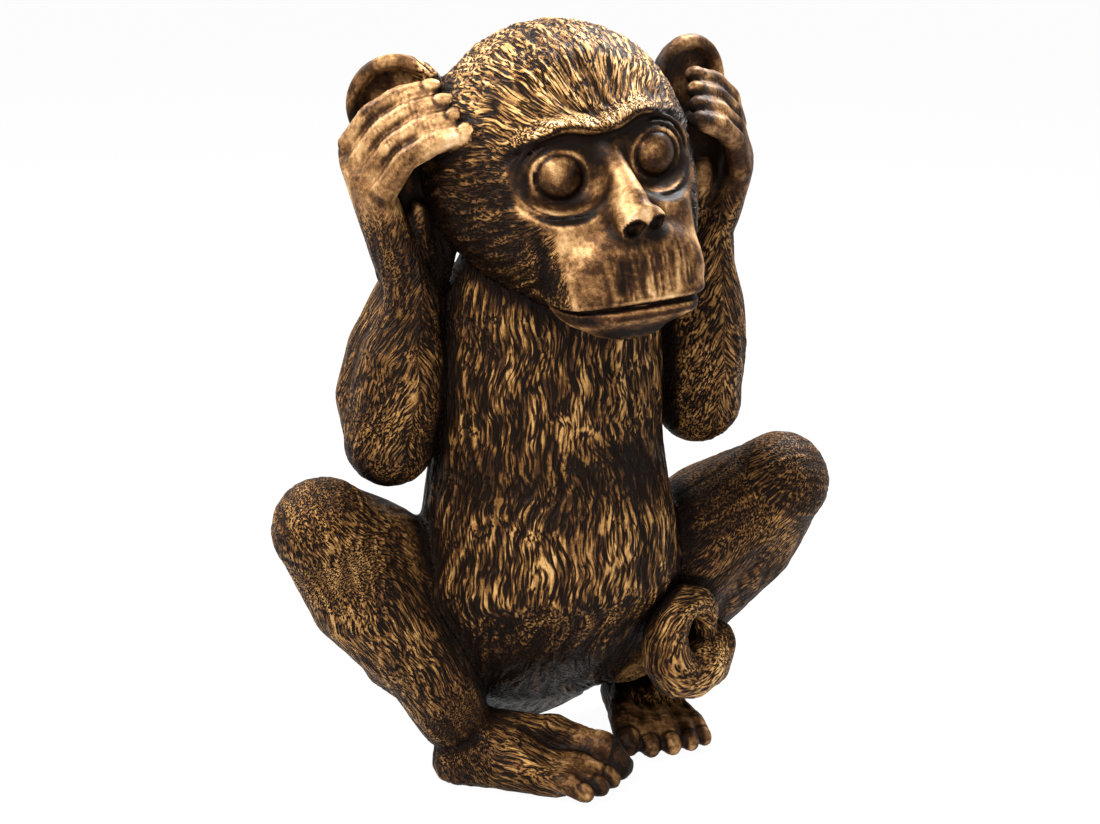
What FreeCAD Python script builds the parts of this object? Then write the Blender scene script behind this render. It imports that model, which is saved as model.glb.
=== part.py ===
"""Seated monkey figurine with its hands over its ears: a painted resin statuette bonded from seven castings.

Row frame: +Z is up and z = 0 is the shelf under the felt pads. The monkey faces -Y and its left side is +X.
The origin lies on the shelf under the middle of the rump, where the seat pad rests.
All lengths are millimetres and all angles degrees.
"""

import FreeCAD
import Part
import math
import os

from FreeCAD import Placement, Rotation, Vector

# Torso casting: from the shelf to the top of the neck stub that the head is bonded over.
torso_height = 252.0
torso_width = 120.0
torso_depth = 106.0
lock_relief = 0.9
casting_wall = 8.0
neck_bore_radius = 14.0

# Head casting: overall width, length and height, the middle of the cranium, and its lean to the right.
head_width = 114.0
head_length = 137.0
head_height = 124.0
head_rise = 280.0
head_forward = 84.0
head_shift = -2.5
head_lean = 8.7
head_turn = 4.0
head_cavity_radius = 41.0

# Face, set out from the middle of the cranium.
muzzle_width = 69.0
muzzle_height = 49.0
eye_radius = 11.5
eye_spacing = 37.0
eye_forward = 44.0
eye_rise = 1.0
eye_splay = 10.0
lid_thickness = 1.8
lid_opening_radius = 9.4
socket_radius = 15.0
socket_depth = 5.0
brow_span = 88.0
brow_radius = 5.2
nose_half_width = 9.3
nose_half_height = 6.6
nostril_radius = 3.1
nostril_spacing = 9.6
mouth_line_height = 224.5
mouth_line_gap = 2.4
mouth_line_depth = 2.2

# Ears: shallow dishes that show behind the fingers.
ear_radius = 21.0
ear_thickness = 9.0
ear_dish_depth = 5.0
ear_rim = 3.6
ear_spacing = 127.0
ear_height = 300.5
ear_step = 3.0
ear_shift = 1.0
ear_forward = 63.0
ear_turn = 24.0

# Arms: places of shoulder, elbow and wrist, and how thick the limb is there.
shoulder_spacing = 97.0
shoulder_height = 210.0
shoulder_forward = 53.0
shoulder_radius = 24.0
upper_arm_radius = 22.5
upper_arm_bulge = 6.0
elbow_spacing = 141.0
right_elbow_height = 158.0
left_elbow_height = 164.0
elbow_forward = 70.0
elbow_radius = 19.0
forearm_radius = 20.3
wrist_spacing = 132.5
right_wrist_height = 222.0
left_wrist_height = 238.0
wrist_forward = 79.0
wrist_radius = 11.5
wrist_shift = 3.8
hand_shift = 2.0

# Hands: each palm stands off its ear, and four fingers close over the top of the ear.
knuckle_spacing = 166.0
knuckle_height = 274.0
knuckle_forward = 76.0
palm_half_width = 19.5
palm_half_thickness = 7.8
finger_radius = 5.1
finger_pitch = 9.8
finger_stack_slope = 32.0
finger_arch = 4.5
cup_radius = 15.0
cup_height = 50.0
cup_forward = 63.0
fingertip_spacing = 106.0
fingertip_height = 301.0
fingertip_forward = 99.0
thumb_radius = 6.4
thumb_length = 20.0
thumb_lean = 12.0

# Legs: hips inside the rump, knees wide apart, ankles low.
hip_spacing = 92.0
hip_height = 56.0
hip_forward = 40.0
hip_radius = 31.5
knee_spacing = 208.0
knee_height = 127.0
knee_forward = 85.0
knee_radius = 21.5
calf_radius = 23.0
ankle_radius = 15.5
ankle_height = 27.0
right_ankle_across = -41.5
right_ankle_forward = 69.0
left_ankle_across = 62.0
left_ankle_forward = 16.0

# Feet: the right one lies across in front of the belly, the left one points straight ahead.
right_foot_length = 88.0
left_foot_length = 83.0
foot_half_width = 19.5
instep_half_height = 16.5
foot_sink = 3.0
heel_behind_ankle = 11.0
toe_radius = 5.8
toe_length = 28.0
right_foot_turn = 32.5
left_foot_turn = 97.0

# Tail: from the back of the rump round the left ankle, ending in an upright curl before the shin.
tail_radius = 11.4
tail_root_height = 24.0
tail_sweep_across = 89.0
tail_sweep_back = 48.0
tail_clearance = 1.5
curl_radius = 15.5
curl_centre_across = 59.0
curl_centre_forward = 92.0
curl_centre_height = 60.5
curl_turn = 24.0

# Bonding pins, filling hole with its plug, and felt pads.
pin_radius = 2.5
pin_depth = 9.0
pin_bite = 5.0
pin_clearance = 0.05
plug_hole_radius = 9.0
plug_flange = 2.5
plug_flange_thickness = 2.0
plug_height = 10.0
plug_wall = 2.5
plug_clearance = 0.1
pad_thickness = 1.5
pad_inset = 3.0

cut_overrun = 1.0

RIGHT, LEFT = -1, 1
SECTION_POINTS = 8
BODY_SIDES = 22
TORSO_LOCKS = 16
LIMB_SIDES = 12
DIGIT_SIDES = 8
TAIL_SIDES = 10
EAR_SIDES = 20
ROUND_END = (78, 52, 26)
BLUNT_END = (66, 33)
DIGIT_END = (58,)
X_AXIS, Y_AXIS, Z_AXIS = Vector(1, 0, 0), Vector(0, 1, 0), Vector(0, 0, 1)


# Forms that every casting is built from


def ring_places(centre, across, up, half_across, half_up, count):
    """Evenly turned places round an ellipse, in the plane of the unit vectors across and up."""
    turn = 2 * math.pi / count
    return [
        centre + across * (half_across * math.cos(turn * k)) + up * (half_up * math.sin(turn * k))
        for k in range(count)
    ]


def oval(*ellipse):
    """A smooth closed curve: ellipse is centre, across, up, half_across, half_up."""
    curve = Part.BSplineCurve()
    curve.interpolate(Points=ring_places(*ellipse, SECTION_POINTS), PeriodicFlag=True)
    return Part.Wire([curve.toShape()])


def facet_ring(sides, *ellipse):
    """The same outline with straight sides."""
    places = ring_places(*ellipse, sides)
    return Part.makePolygon(places + places[:1])


def lock_ring(locks, centre, across, up, half_across, half_up):
    """The outline of the main locks of fur: its straight sides rise and fall round the oval."""
    places = ring_places(centre, across, up, half_across, half_up, 2 * locks)
    hollows = ring_places(centre, across, up, half_across - lock_relief, half_up - lock_relief, 2 * locks)
    places[1::2] = hollows[1::2]
    return Part.makePolygon(places + places[:1])


def swept_form(stations, side, facing=None, sides=0, dome_shares=(1.0, 1.0), dome_angles=BLUNT_END):
    """A solid lofted through ovals, with a dome on each end whose share is not zero.

    A station is (centre, half size along side, half size the other way). The ovals stand square to the
    centreline, or to facing where it is given. With no sides the form is smooth, and otherwise it is carved
    in long flats. A dome share of 1 is a round end.
    """
    centres = [station[0] for station in stations]
    last = len(stations) - 1
    wires = []
    for k, (centre, half_side, half_other) in enumerate(stations):
        tangent = facing or (centres[min(k + 1, last)] - centres[max(k - 1, 0)]).normalize()
        across = (side - tangent * side.dot(tangent)).normalize()
        up = tangent.cross(across)
        ellipses = [(centre, across, up, half_side, half_other)]
        dome_share = {0: -dome_shares[0], last: dome_shares[1]}.get(k, 0)
        for angle in dome_angles[::-1] if dome_share else ():
            shrink = math.cos(math.radians(angle))
            reach = min(half_side, half_other) * math.sin(math.radians(angle)) * dome_share
            ellipses.append((centre + tangent * reach, across, up, half_side * shrink, half_other * shrink))
        for ellipse in ellipses[::-1] if k == 0 else ellipses:
            wires.append(facet_ring(sides, *ellipse) if sides else oval(*ellipse))
    return Part.makeLoft(wires, True, sides > 0, False)


def limb_form(stations, side, sides=LIMB_SIDES, **ends):
    """A carved form of round section: a station is (centre, radius)."""
    return swept_form([(centre, radius, radius) for centre, radius in stations], side, sides=sides, **ends)


def digit_form(stations, side):
    """A finger or toe: its root is buried in the hand or foot, so only its tip is domed."""
    return limb_form(stations, side, DIGIT_SIDES, dome_shares=(0, 1.0), dome_angles=DIGIT_END)


def joint_ball(centre, radius):
    """The round of a bent elbow or knee, just proud of the two forms that meet in it."""
    return Part.makeSphere(radius * 1.02, centre)


def between(start, end, share):
    return start + (end - start) * share


def cylinder(start, axis, radius, length):
    return Part.makeCylinder(radius, length, start, axis)


def fuse_all(forms):
    return forms[0].multiFuse(forms[1:]) if len(forms) > 1 else forms[0]


def above_pads(form):
    """Cuts a casting flat where its felt pad is glued on."""
    reach = torso_height
    return form.cut(Part.makeBox(2 * reach, 2 * reach, reach, Vector(-reach, -reach, pad_thickness - reach)))


def largest_solid(shape):
    return max(shape.Solids, key=lambda solid: solid.Volume)


# Torso: rump, belly, waist, chest and neck stub in one loft

# Shares of the height, of the depth forward of the origin, of the half width and of the half depth.
TORSO_SHARES = (
    (0.006, 0.00, 0.34, 0.34),
    (0.056, 0.075, 0.62, 0.62),
    (0.127, 0.21, 0.84, 0.87),
    (0.230, 0.40, 0.965, 0.98),
    (0.360, 0.64, 1.00, 0.94),
    (0.480, 0.68, 0.94, 0.87),
    (0.600, 0.66, 0.86, 0.81),
    (0.750, 0.64, 0.87, 0.79),
    (0.870, 0.68, 0.76, 0.70),
    (1.000, 0.75, 0.54, 0.54),
)


def torso_centre(row):
    return Vector(0, -row[1] * torso_depth, row[0] * torso_height)


def torso_ellipse(row, inset=0.0):
    half_width = row[2] * torso_width / 2 - inset
    half_depth = row[3] * torso_depth / 2 - inset
    return torso_centre(row), X_AXIS, Y_AXIS, half_width, half_depth


def torso_form():
    outlines = [lock_ring(TORSO_LOCKS, *torso_ellipse(row)) for row in TORSO_SHARES]
    return above_pads(Part.makeLoft(outlines, True, True, False))


def torso_skin(forward, height):
    """Half the torso's width at a place forward of the origin and up from the shelf."""
    rows = TORSO_SHARES
    above = next(k for k in range(1, len(rows)) if rows[k][0] * torso_height >= height)
    low, high = rows[above - 1], rows[above]
    share = (height / torso_height - low[0]) / (high[0] - low[0])
    middle, width, depth = (low[k] + (high[k] - low[k]) * share for k in (1, 2, 3))
    off_middle = (forward - middle * torso_depth) / (depth * torso_depth / 2)
    return width * torso_width / 2 * math.sqrt(max(0, 1 - off_middle**2))


def rump_back(height):
    """How far the rump reaches behind the origin at a height."""
    low, high = TORSO_SHARES[1], TORSO_SHARES[2]
    share = (height / torso_height - low[0]) / (high[0] - low[0])
    middle, depth = (low[k] + (high[k] - low[k]) * share for k in (1, 3))
    return (depth / 2 - middle) * torso_depth


def torso_cavity():
    rows = TORSO_SHARES[2:8]
    outlines = [facet_ring(LIMB_SIDES, *torso_ellipse(row, casting_wall)) for row in rows]
    room = Part.makeLoft(outlines, True, True, False)
    neck_start = torso_centre(rows[-1]) - Z_AXIS * casting_wall
    neck_axis = torso_centre(TORSO_SHARES[-1]) - neck_start
    neck_bore = cylinder(neck_start, neck_axis, neck_bore_radius, neck_axis.Length + cut_overrun)
    hole_length = rows[0][0] * torso_height + casting_wall
    filling_hole = cylinder(Vector(0, 0, 0), Z_AXIS, plug_hole_radius, hole_length)
    recess_radius = plug_hole_radius + plug_flange
    flange_recess = cylinder(Vector(0, 0, 0), Z_AXIS, recess_radius, pad_thickness + plug_flange_thickness)
    return fuse_all([room, neck_bore, filling_hole, flange_recess])


def base_plug():
    seat = Vector(0, 0, pad_thickness)
    body_radius = plug_hole_radius - plug_clearance
    flange = cylinder(seat, Z_AXIS, body_radius + plug_flange, plug_flange_thickness)
    body = cylinder(seat, Z_AXIS, body_radius, plug_height)
    hollow_top = seat + Z_AXIS * plug_flange_thickness
    hollow = cylinder(hollow_top, Z_AXIS, body_radius - plug_wall, plug_height)
    return flange.fuse(body).cut(hollow)


# Head: cranium, muzzle, brow, eyes, nose and mouth, modelled upright and then leaned into place

# Shares of the head length forward, of the head height up, of the half width and of the half height.
CRANIUM_SHARES = (
    (-0.32, -0.02, 0.56, 0.48),
    (-0.20, -0.02, 0.84, 0.77),
    (-0.06, -0.02, 0.98, 0.91),
    (0.09, -0.03, 0.98, 0.94),
    (0.23, -0.06, 0.86, 0.86),
    (0.33, -0.13, 0.74, 0.70),
    (0.41, -0.23, 0.61, 0.50),
)
# The same, but the last two are shares of half the muzzle's width and height.
MUZZLE_SHARES = (
    (0.20, -0.25, 0.90, 1.30),
    (0.33, -0.285, 1.00, 1.32),
    (0.43, -0.32, 0.98, 1.18),
    (0.49, -0.345, 0.90, 0.98),
)
# Shares of half the brow span, of the head length forward, of the head height up and of the brow radius.
BROW_SHARES = (
    (-1.00, 0.15, -0.02, 0.55),
    (-0.80, 0.25, 0.09, 0.85),
    (-0.42, 0.35, 0.145, 1.00),
    (0.00, 0.375, 0.13, 0.90),
    (0.42, 0.35, 0.145, 1.00),
    (0.80, 0.25, 0.09, 0.85),
    (1.00, 0.15, -0.02, 0.55),
)
# Shares of the head length forward, of the head height up, of the nose half width and half height.
NOSE_SHARES = (
    (0.34, 0.07, 0.42, 0.80),
    (0.45, -0.04, 0.56, 0.95),
    (0.545, -0.13, 1.00, 1.00),
)


def face_place(across, forward, up):
    return Vector(across, -forward, up)


def head_stations(shares, half_width, half_height, inset=0.0):
    return [
        (
            face_place(0, forward * head_length, up * head_height),
            half_width * width - inset,
            half_height * height - inset,
        )
        for forward, up, width, height in shares
    ]


def muzzle_form(inset=0.0):
    stations = head_stations(MUZZLE_SHARES, muzzle_width / 2, muzzle_height / 2, inset)
    return swept_form(stations, X_AXIS, -Y_AXIS, BODY_SIDES, dome_shares=(0, 0.42), dome_angles=ROUND_END)


def face_on_cranium():
    cranium = swept_form(
        head_stations(CRANIUM_SHARES, head_width / 2, head_height / 2),
        X_AXIS,
        -Y_AXIS,
        BODY_SIDES,
        dome_shares=(0.42, 0.4),
        dome_angles=ROUND_END,
    )
    brow = [
        (face_place(x * brow_span / 2, y * head_length, z * head_height), r * brow_radius)
        for x, y, z, r in BROW_SHARES
    ]
    nose_stations = head_stations(NOSE_SHARES, nose_half_width, nose_half_height)
    nose = swept_form(nose_stations, X_AXIS, facing=-Y_AXIS, sides=LIMB_SIDES, dome_shares=(0, 0.6))
    sockets, eyes, nostrils = [], [], []
    for side in (RIGHT, LEFT):
        sockets.append(eye_socket(side))
        eyes += [Part.makeSphere(eye_radius, eye_place(side)), eyelids(side)]
        nostrils.append(nostril(side))
    face = cranium.fuse(muzzle_form()).cut(sockets)
    return face.multiFuse([limb_form(brow, Z_AXIS, DIGIT_SIDES), nose] + eyes).cut(nostrils)


def eye_place(side):
    return face_place(side * eye_spacing / 2, eye_forward, eye_rise)


def gaze(side):
    """Each eye looks forward and a little outward."""
    return Vector(side * math.sin(math.radians(eye_splay)), -math.cos(math.radians(eye_splay)), 0)


def eye_socket(side):
    return Part.makeSphere(
        socket_radius, eye_place(side) + gaze(side) * (eye_radius + socket_radius - socket_depth)
    )


def eyelids(side):
    """Both lids as one shell round the eyeball, open in front where the eye shows."""
    shell_radius = eye_radius + lid_thickness
    opening_plane = eye_place(side) + gaze(side) * math.sqrt(eye_radius**2 - lid_opening_radius**2)
    front = cylinder(opening_plane, gaze(side), shell_radius + cut_overrun, shell_radius)
    return Part.makeSphere(shell_radius, eye_place(side)).cut(front)


def nostril(side):
    forward, up = NOSE_SHARES[-1][0] * head_length, NOSE_SHARES[-1][1] * head_height
    below = up - nose_half_height * 0.8
    opening = face_place(side * nostril_spacing / 2, forward + nose_half_height / 2, below)
    return Part.makeSphere(nostril_radius, opening)


def leaned(form):
    """Turns and leans a form of the upright head, and sets it on the shoulders."""
    turned = Rotation(Z_AXIS, head_turn).multiply(Rotation(Y_AXIS, -head_lean))
    form.Placement = Placement(Vector(head_shift, -head_forward, head_rise), turned)
    return form


def mouth_line():
    """The groove between the lips: a level slot that follows the muzzle's skin."""
    corners_forward = head_forward + MUZZLE_SHARES[0][0] * head_length + muzzle_height / 2
    reach = muzzle_width
    corner = Vector(head_shift - reach, -corners_forward - reach, mouth_line_height - mouth_line_gap / 2)
    slot = Part.makeBox(2 * reach, reach, mouth_line_gap, corner)
    return slot.cut(leaned(muzzle_form(mouth_line_depth)))


def ear(side):
    """A thick round dish, hollowed on the face that it turns forward and outward."""
    centre = Vector(side * ear_spacing / 2 + ear_shift, -ear_forward, ear_height + side * ear_step / 2)
    turn = math.radians(ear_turn)
    facing = Vector(side * math.sin(turn), -math.cos(turn), 0)
    disc_shares = ((-0.5, 0.62), (-0.25, 0.90), (0.15, 1.0), (0.5, 0.92))
    across = facing.cross(Z_AXIS)
    wires = [
        facet_ring(EAR_SIDES, centre + facing * (depth * ear_thickness), across, Z_AXIS, radius, radius)
        for depth, radius in ((depth, ear_radius * width) for depth, width in disc_shares)
    ]
    disc = Part.makeLoft(wires, True, True, False)
    dish_radius = ((ear_radius - ear_rim) ** 2 + ear_dish_depth**2) / (2 * ear_dish_depth)
    dish_centre = centre + facing * (ear_thickness / 2 + dish_radius - ear_dish_depth)
    return disc.cut(Part.makeSphere(dish_radius, dish_centre))


def head_form():
    return fuse_all([leaned(face_on_cranium()), ear(RIGHT), ear(LEFT)]).cut(mouth_line())


def head_cavity():
    return Part.makeSphere(head_cavity_radius, Vector(head_shift, -head_forward, head_rise))


# Arms: upper arm, forearm, cupped palm, four fingers and thumb in one casting


def arm_form(side, elbow_height, wrist_height):
    shoulder = Vector(side * shoulder_spacing / 2, -shoulder_forward, shoulder_height)
    elbow = Vector(side * elbow_spacing / 2, -elbow_forward, elbow_height)
    wrist = Vector(side * wrist_spacing / 2 + wrist_shift, -wrist_forward, wrist_height)
    knuckles = Vector(side * knuckle_spacing / 2 + hand_shift, -knuckle_forward, knuckle_height)
    outward_and_back = Vector(side, 1, 0) * upper_arm_bulge
    upper_arm = [
        (shoulder, shoulder_radius),
        (between(shoulder, elbow, 0.4) + outward_and_back * 0.9, upper_arm_radius),
        (between(shoulder, elbow, 0.7) + outward_and_back, between(upper_arm_radius, elbow_radius, 0.4)),
        (elbow, elbow_radius),
    ]
    forearm = [
        (elbow, elbow_radius),
        (between(elbow, wrist, 0.35), forearm_radius),
        (between(elbow, wrist, 0.62), forearm_radius * 0.88),
        (between(elbow, wrist, 0.84), wrist_radius * 1.12),
        (wrist, wrist_radius),
    ]
    palm = [
        (between(wrist, knuckles, -0.08), wrist_radius * 0.90, wrist_radius * 0.90),
        (between(wrist, knuckles, 0.35), palm_half_width * 0.80, palm_half_thickness * 1.30),
        (between(wrist, knuckles, 0.70), palm_half_width * 0.97, palm_half_thickness * 1.15),
        (knuckles, palm_half_width, palm_half_thickness),
    ]
    stack = finger_stack(side).normalize()
    lengthways = knuckles - wrist
    palm_facing = (lengthways - stack * stack.dot(lengthways)).normalize()
    forms = [
        limb_form(upper_arm, Y_AXIS, dome_shares=(1.0, 0)),
        joint_ball(elbow, elbow_radius),
        limb_form(forearm, Y_AXIS, dome_shares=(0, 0.8)),
        swept_form(palm, stack, palm_facing, LIMB_SIDES, dome_shares=(0, 0.5)),
        palm_cup(side),
        thumb(side, wrist, knuckles),
    ]
    return fuse_all(forms + fingers(side, knuckles))


def finger_stack(side):
    """The step from one finger to the next: forward, down and a little in towards the head."""
    slope = math.radians(finger_stack_slope)
    return Vector(-side * math.sin(slope) / 2, -math.cos(slope), -math.sin(slope)).normalize() * finger_pitch


def fingers(side, knuckles):
    """Four fingers that arch from the knuckles over the ear and end on the side of the head."""
    tips = Vector(side * fingertip_spacing / 2 + hand_shift, -fingertip_forward, fingertip_height)
    arch = Vector(side, 0, 1) * finger_arch
    digits = []
    for place in (-1.5, -0.5, 0.5, 1.5):
        shift = finger_stack(side) * place
        run = [
            (knuckles, 1.14),
            (between(knuckles, tips, 0.40) + arch, 0.98),
            (between(knuckles, tips, 0.70) + arch * 0.8, 1.02),
            (tips, 0.84),
        ]
        stations = [(centre + shift, finger_radius * share) for centre, share in run]
        digits.append(digit_form(stations, finger_stack(side)))
    return digits


def palm_cup(side):
    """The casting is filled in behind the cupped hand, from the palm to the side of the head."""
    foot = Vector(side * wrist_spacing / 2 + hand_shift, -cup_forward, knuckle_height - cup_height)
    rise = Z_AXIS * cup_height
    stations = [
        (foot, cup_radius * 0.35, cup_radius * 0.55),
        (foot + rise * 0.45, cup_radius * 0.5, cup_radius),
        (foot + rise * 1.1, cup_radius * 0.5, cup_radius),
    ]
    return swept_form(stations, Y_AXIS, sides=LIMB_SIDES)


def thumb(side, wrist, knuckles):
    """The thumb lies inside the palm, between it and the cheek."""
    root = between(wrist, knuckles, 0.3) - X_AXIS * (side * palm_half_thickness)
    upward = Vector(0, -math.sin(math.radians(thumb_lean)), 1).normalize()
    stations = [(root, thumb_radius * 1.15), (root + upward * thumb_length, thumb_radius * 0.8)]
    return digit_form(stations, Y_AXIS)


# Legs: thigh, shin, foot and five toes in one casting


# How far the shin bows outward from the line between knee and ankle, as shares of the calf radius.
SHIN_BOW_SHARES = {RIGHT: (0.17, -0.10), LEFT: (0.40, 0.40)}


def leg_form(side, ankle, foot_turn, foot_length):
    hip = Vector(side * hip_spacing / 2, -hip_forward, hip_height)
    knee = Vector(side * knee_spacing / 2, -knee_forward, knee_height)
    thigh = [
        (hip, hip_radius),
        (between(hip, knee, 0.30) + Z_AXIS * (hip_radius * 0.20), hip_radius * 0.98),
        (between(hip, knee, 0.62) + Z_AXIS * (hip_radius * 0.24), hip_radius * 0.86),
        (knee, knee_radius),
    ]
    high_bow, low_bow = (Vector(side, 0, 0) * (calf_radius * share) for share in SHIN_BOW_SHARES[side])
    shin = [
        (knee, knee_radius),
        (between(knee, ankle, 0.33) + high_bow, calf_radius),
        (between(knee, ankle, 0.70) + low_bow, between(calf_radius, ankle_radius, 0.55)),
        (ankle, ankle_radius),
    ]
    forms = [
        limb_form(thigh, Y_AXIS, dome_shares=(1.0, 0)),
        joint_ball(knee, knee_radius),
        limb_form(shin, Y_AXIS, dome_shares=(0, 1.0)),
    ]
    return above_pads(fuse_all(forms + foot_forms(side, ankle, foot_turn, foot_length)))


# Shares of the foot length forward of the heel, of the foot half width and of the instep half height.
FOOT_SHARES = (
    (0.14, 0.80, 0.80),
    (0.27, 0.90, 1.00),
    (0.45, 0.96, 0.84),
    (0.60, 1.00, 0.62),
    (0.68, 0.95, 0.50),
)
# Each toe from the inner side: share of the half width across, turn outward, share of length, of radius.
TOE_SHARES = (
    (-0.74, -8.0, 0.86, 1.20),
    (-0.33, -4.0, 1.00, 1.00),
    (0.06, 1.0, 0.98, 0.98),
    (0.43, 6.0, 0.88, 0.92),
    (0.76, 11.0, 0.72, 0.84),
)
# Along a toe: share of its length, lift of its middle in toe radii, share of its radius.
TOE_RUN_SHARES = (
    (0.0, 0.75, 1.0),
    (0.5, 0.80, 1.05),
    (1.0, 0.0, 0.90),
)


def foot_directions(side, foot_turn):
    """The unit vectors along a foot towards its toes and across it away from the body."""
    turn = math.radians(foot_turn)
    ahead = Vector(math.cos(turn), -math.sin(turn), 0)
    outward = Vector(side * math.sin(turn), side * math.cos(turn), 0)
    return ahead, outward


def foot_forms(side, ankle, foot_turn, foot_length):
    ahead, outward = foot_directions(side, foot_turn)
    heel = Vector(ankle.x, ankle.y, 0) - ahead * heel_behind_ankle

    def place(forward, across, height):
        return heel + ahead * forward + outward * across + Z_AXIS * height

    sole = [
        (
            place(forward * foot_length, 0, instep_half_height * height - foot_sink),
            foot_half_width * width,
            instep_half_height * height,
        )
        for forward, width, height in FOOT_SHARES
    ]
    forms = [swept_form(sole, outward, facing=ahead, sides=LIMB_SIDES, dome_shares=(0.95, 0.8))]
    toe_root = FOOT_SHARES[-2][0] * foot_length
    for across, splay, length_share, radius_share in TOE_SHARES:
        radius = toe_radius * radius_share
        length = toe_length * length_share
        lean = math.radians(splay)
        stations = []
        for run, lift, thickness in TOE_RUN_SHARES:
            forward = toe_root + run * length * math.cos(lean)
            aside = across * foot_half_width + run * length * math.sin(lean)
            centre = place(forward, aside, pad_thickness + radius * (0.9 + lift))
            stations.append((centre, radius * thickness))
        forms.append(digit_form(stations, outward))
    return forms


def foot_pad(side, ankle, foot_turn, foot_length):
    """A felt oval under the flat of the sole."""
    ahead, outward = foot_directions(side, foot_turn)
    middle = Vector(ankle.x, ankle.y, 0) + ahead * (FOOT_SHARES[2][0] * foot_length / 3)
    outline = oval(middle, ahead, outward, foot_length / 4, foot_half_width / 2.6)
    return Part.Face(outline).extrude(Z_AXIS * pad_thickness)


# Tail: leaves the rump, lies along the shelf round the left ankle, then rises into the curl


# Along the shelf: shares of the sweep across and back, of the tail's height off the shelf, of its radius.
TAIL_RUN_SHARES = (
    (0.00, 0.29, 1.85, 1.20),
    (0.04, 0.71, 1.50, 1.16),
    (0.32, 1.00, 1.12, 1.10),
    (0.68, 0.87, 0.97, 1.04),
    (0.93, 0.33, 0.97, 1.00),
    (1.00, -0.30, 1.20, 0.98),
    (0.97, -1.00, 2.05, 1.00),
)
# Round the curl: turn from level, then shares of the curl radius and of the tail radius.
CURL_SHARES = (
    (-18, 0.95, 1.02),
    (-52, 1.00, 1.06),
    (-88, 1.05, 1.07),
    (-124, 1.05, 1.04),
    (-160, 1.03, 1.00),
    (-195, 1.07, 0.92),
    (-228, 1.17, 0.84),
    (-258, 1.22, 0.75),
    (-288, 1.12, 0.65),
    (-316, 0.94, 0.55),
    (-338, 0.70, 0.45),
)


def tail_form():
    low = tail_radius + pad_thickness + tail_clearance
    stations = [
        (Vector(across * tail_sweep_across, back * tail_sweep_back, height * low), thickness * tail_radius)
        for across, back, height, thickness in TAIL_RUN_SHARES
    ]
    curl_centre = Vector(curl_centre_across, -curl_centre_forward, curl_centre_height)
    level = Vector(math.cos(math.radians(curl_turn)), math.sin(math.radians(curl_turn)), 0)
    for turn, reach, thickness in CURL_SHARES:
        angle = math.radians(turn)
        spoke = (level * math.cos(angle) + Z_AXIS * math.sin(angle)) * (reach * curl_radius)
        stations.append((curl_centre + spoke, thickness * tail_radius))
    square_to_curl = level.cross(Z_AXIS)
    return limb_form(stations, square_to_curl + Z_AXIS, TAIL_SIDES)


# Bonding pins


def side_pins(forward, height):
    """A pair of pins across the joints at the skin of the torso, one on each side."""
    pins = []
    for side in (RIGHT, LEFT):
        start = Vector(side * (torso_skin(forward, height) - pin_bite), -forward, height)
        pins.append((start, Vector(side, 0, 0), pin_bite + pin_depth))
    return pins


def tail_pin():
    start = Vector(0, rump_back(tail_root_height) - pin_bite, tail_root_height)
    return [(start, Y_AXIS, pin_bite + pin_depth)]


def pin_solids(pins):
    return [cylinder(start, axis, pin_radius, length) for start, axis, length in pins]


def pin_holes(pins):
    return [
        cylinder(start - axis * pin_clearance, axis, pin_radius + pin_clearance, length + 2 * pin_clearance)
        for start, axis, length in pins
    ]


# Assembly


def save(node, solids):
    shape = solids[0] if len(solids) == 1 else Part.makeCompound(solids)
    shape.exportStep(os.path.join("parts", node + ".step"))
    sound = all(solid.isValid() and solid.isClosed() for solid in shape.Solids)
    print(f"{node}: {len(shape.Solids)} solid(s), {shape.Volume / 1000:.1f} cm3, sound {sound}")


os.makedirs("parts", exist_ok=True)

shoulder_pins = side_pins(shoulder_forward, shoulder_height)
hip_pins = side_pins(hip_forward, hip_height)
rear_pin = tail_pin()
all_holes = pin_holes(shoulder_pins + hip_pins + rear_pin)

body = torso_form()
skull = head_form().cut(body)
right_ankle = Vector(right_ankle_across, -right_ankle_forward, ankle_height)
left_ankle = Vector(left_ankle_across, -left_ankle_forward, ankle_height)
foot_settings = {
    RIGHT: (right_ankle, right_foot_turn, right_foot_length),
    LEFT: (left_ankle, left_foot_turn, left_foot_length),
}
legs = {side: leg_form(side, *foot_settings[side]).cut(body) for side in (RIGHT, LEFT)}
elbow_heights = {RIGHT: right_elbow_height, LEFT: left_elbow_height}
wrist_heights = {RIGHT: right_wrist_height, LEFT: left_wrist_height}
arms = {
    side: arm_form(side, elbow_heights[side], wrist_heights[side]).cut([body, skull])
    for side in (RIGHT, LEFT)
}
tail = tail_form().cut([body, legs[LEFT]])

save("torso", [largest_solid(body.cut([torso_cavity()] + all_holes))])
save("head", [largest_solid(skull.cut(head_cavity()))])
for side, name in ((RIGHT, "right"), (LEFT, "left")):
    save(f"{name}_arm", [largest_solid(arms[side].cut(all_holes))])
    save(f"{name}_leg", [largest_solid(legs[side].cut(all_holes))])
    save(f"{name}_foot_pad", [foot_pad(side, *foot_settings[side])])
save("tail", [largest_solid(tail.cut(all_holes))])
save("shoulder_pins", pin_solids(shoulder_pins))
save("hip_pins", pin_solids(hip_pins))
save("tail_pin", pin_solids(rear_pin))
save("base_plug", [base_plug()])
seat_outline = oval(*torso_ellipse((0,) + TORSO_SHARES[0][1:], pad_inset))
save("seat_pad", [Part.Face(seat_outline).extrude(Z_AXIS * pad_thickness)])
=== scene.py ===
"""Seated monkey figurine with its hands over its ears, in cast resin painted as antique bronze."""

import math

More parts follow.
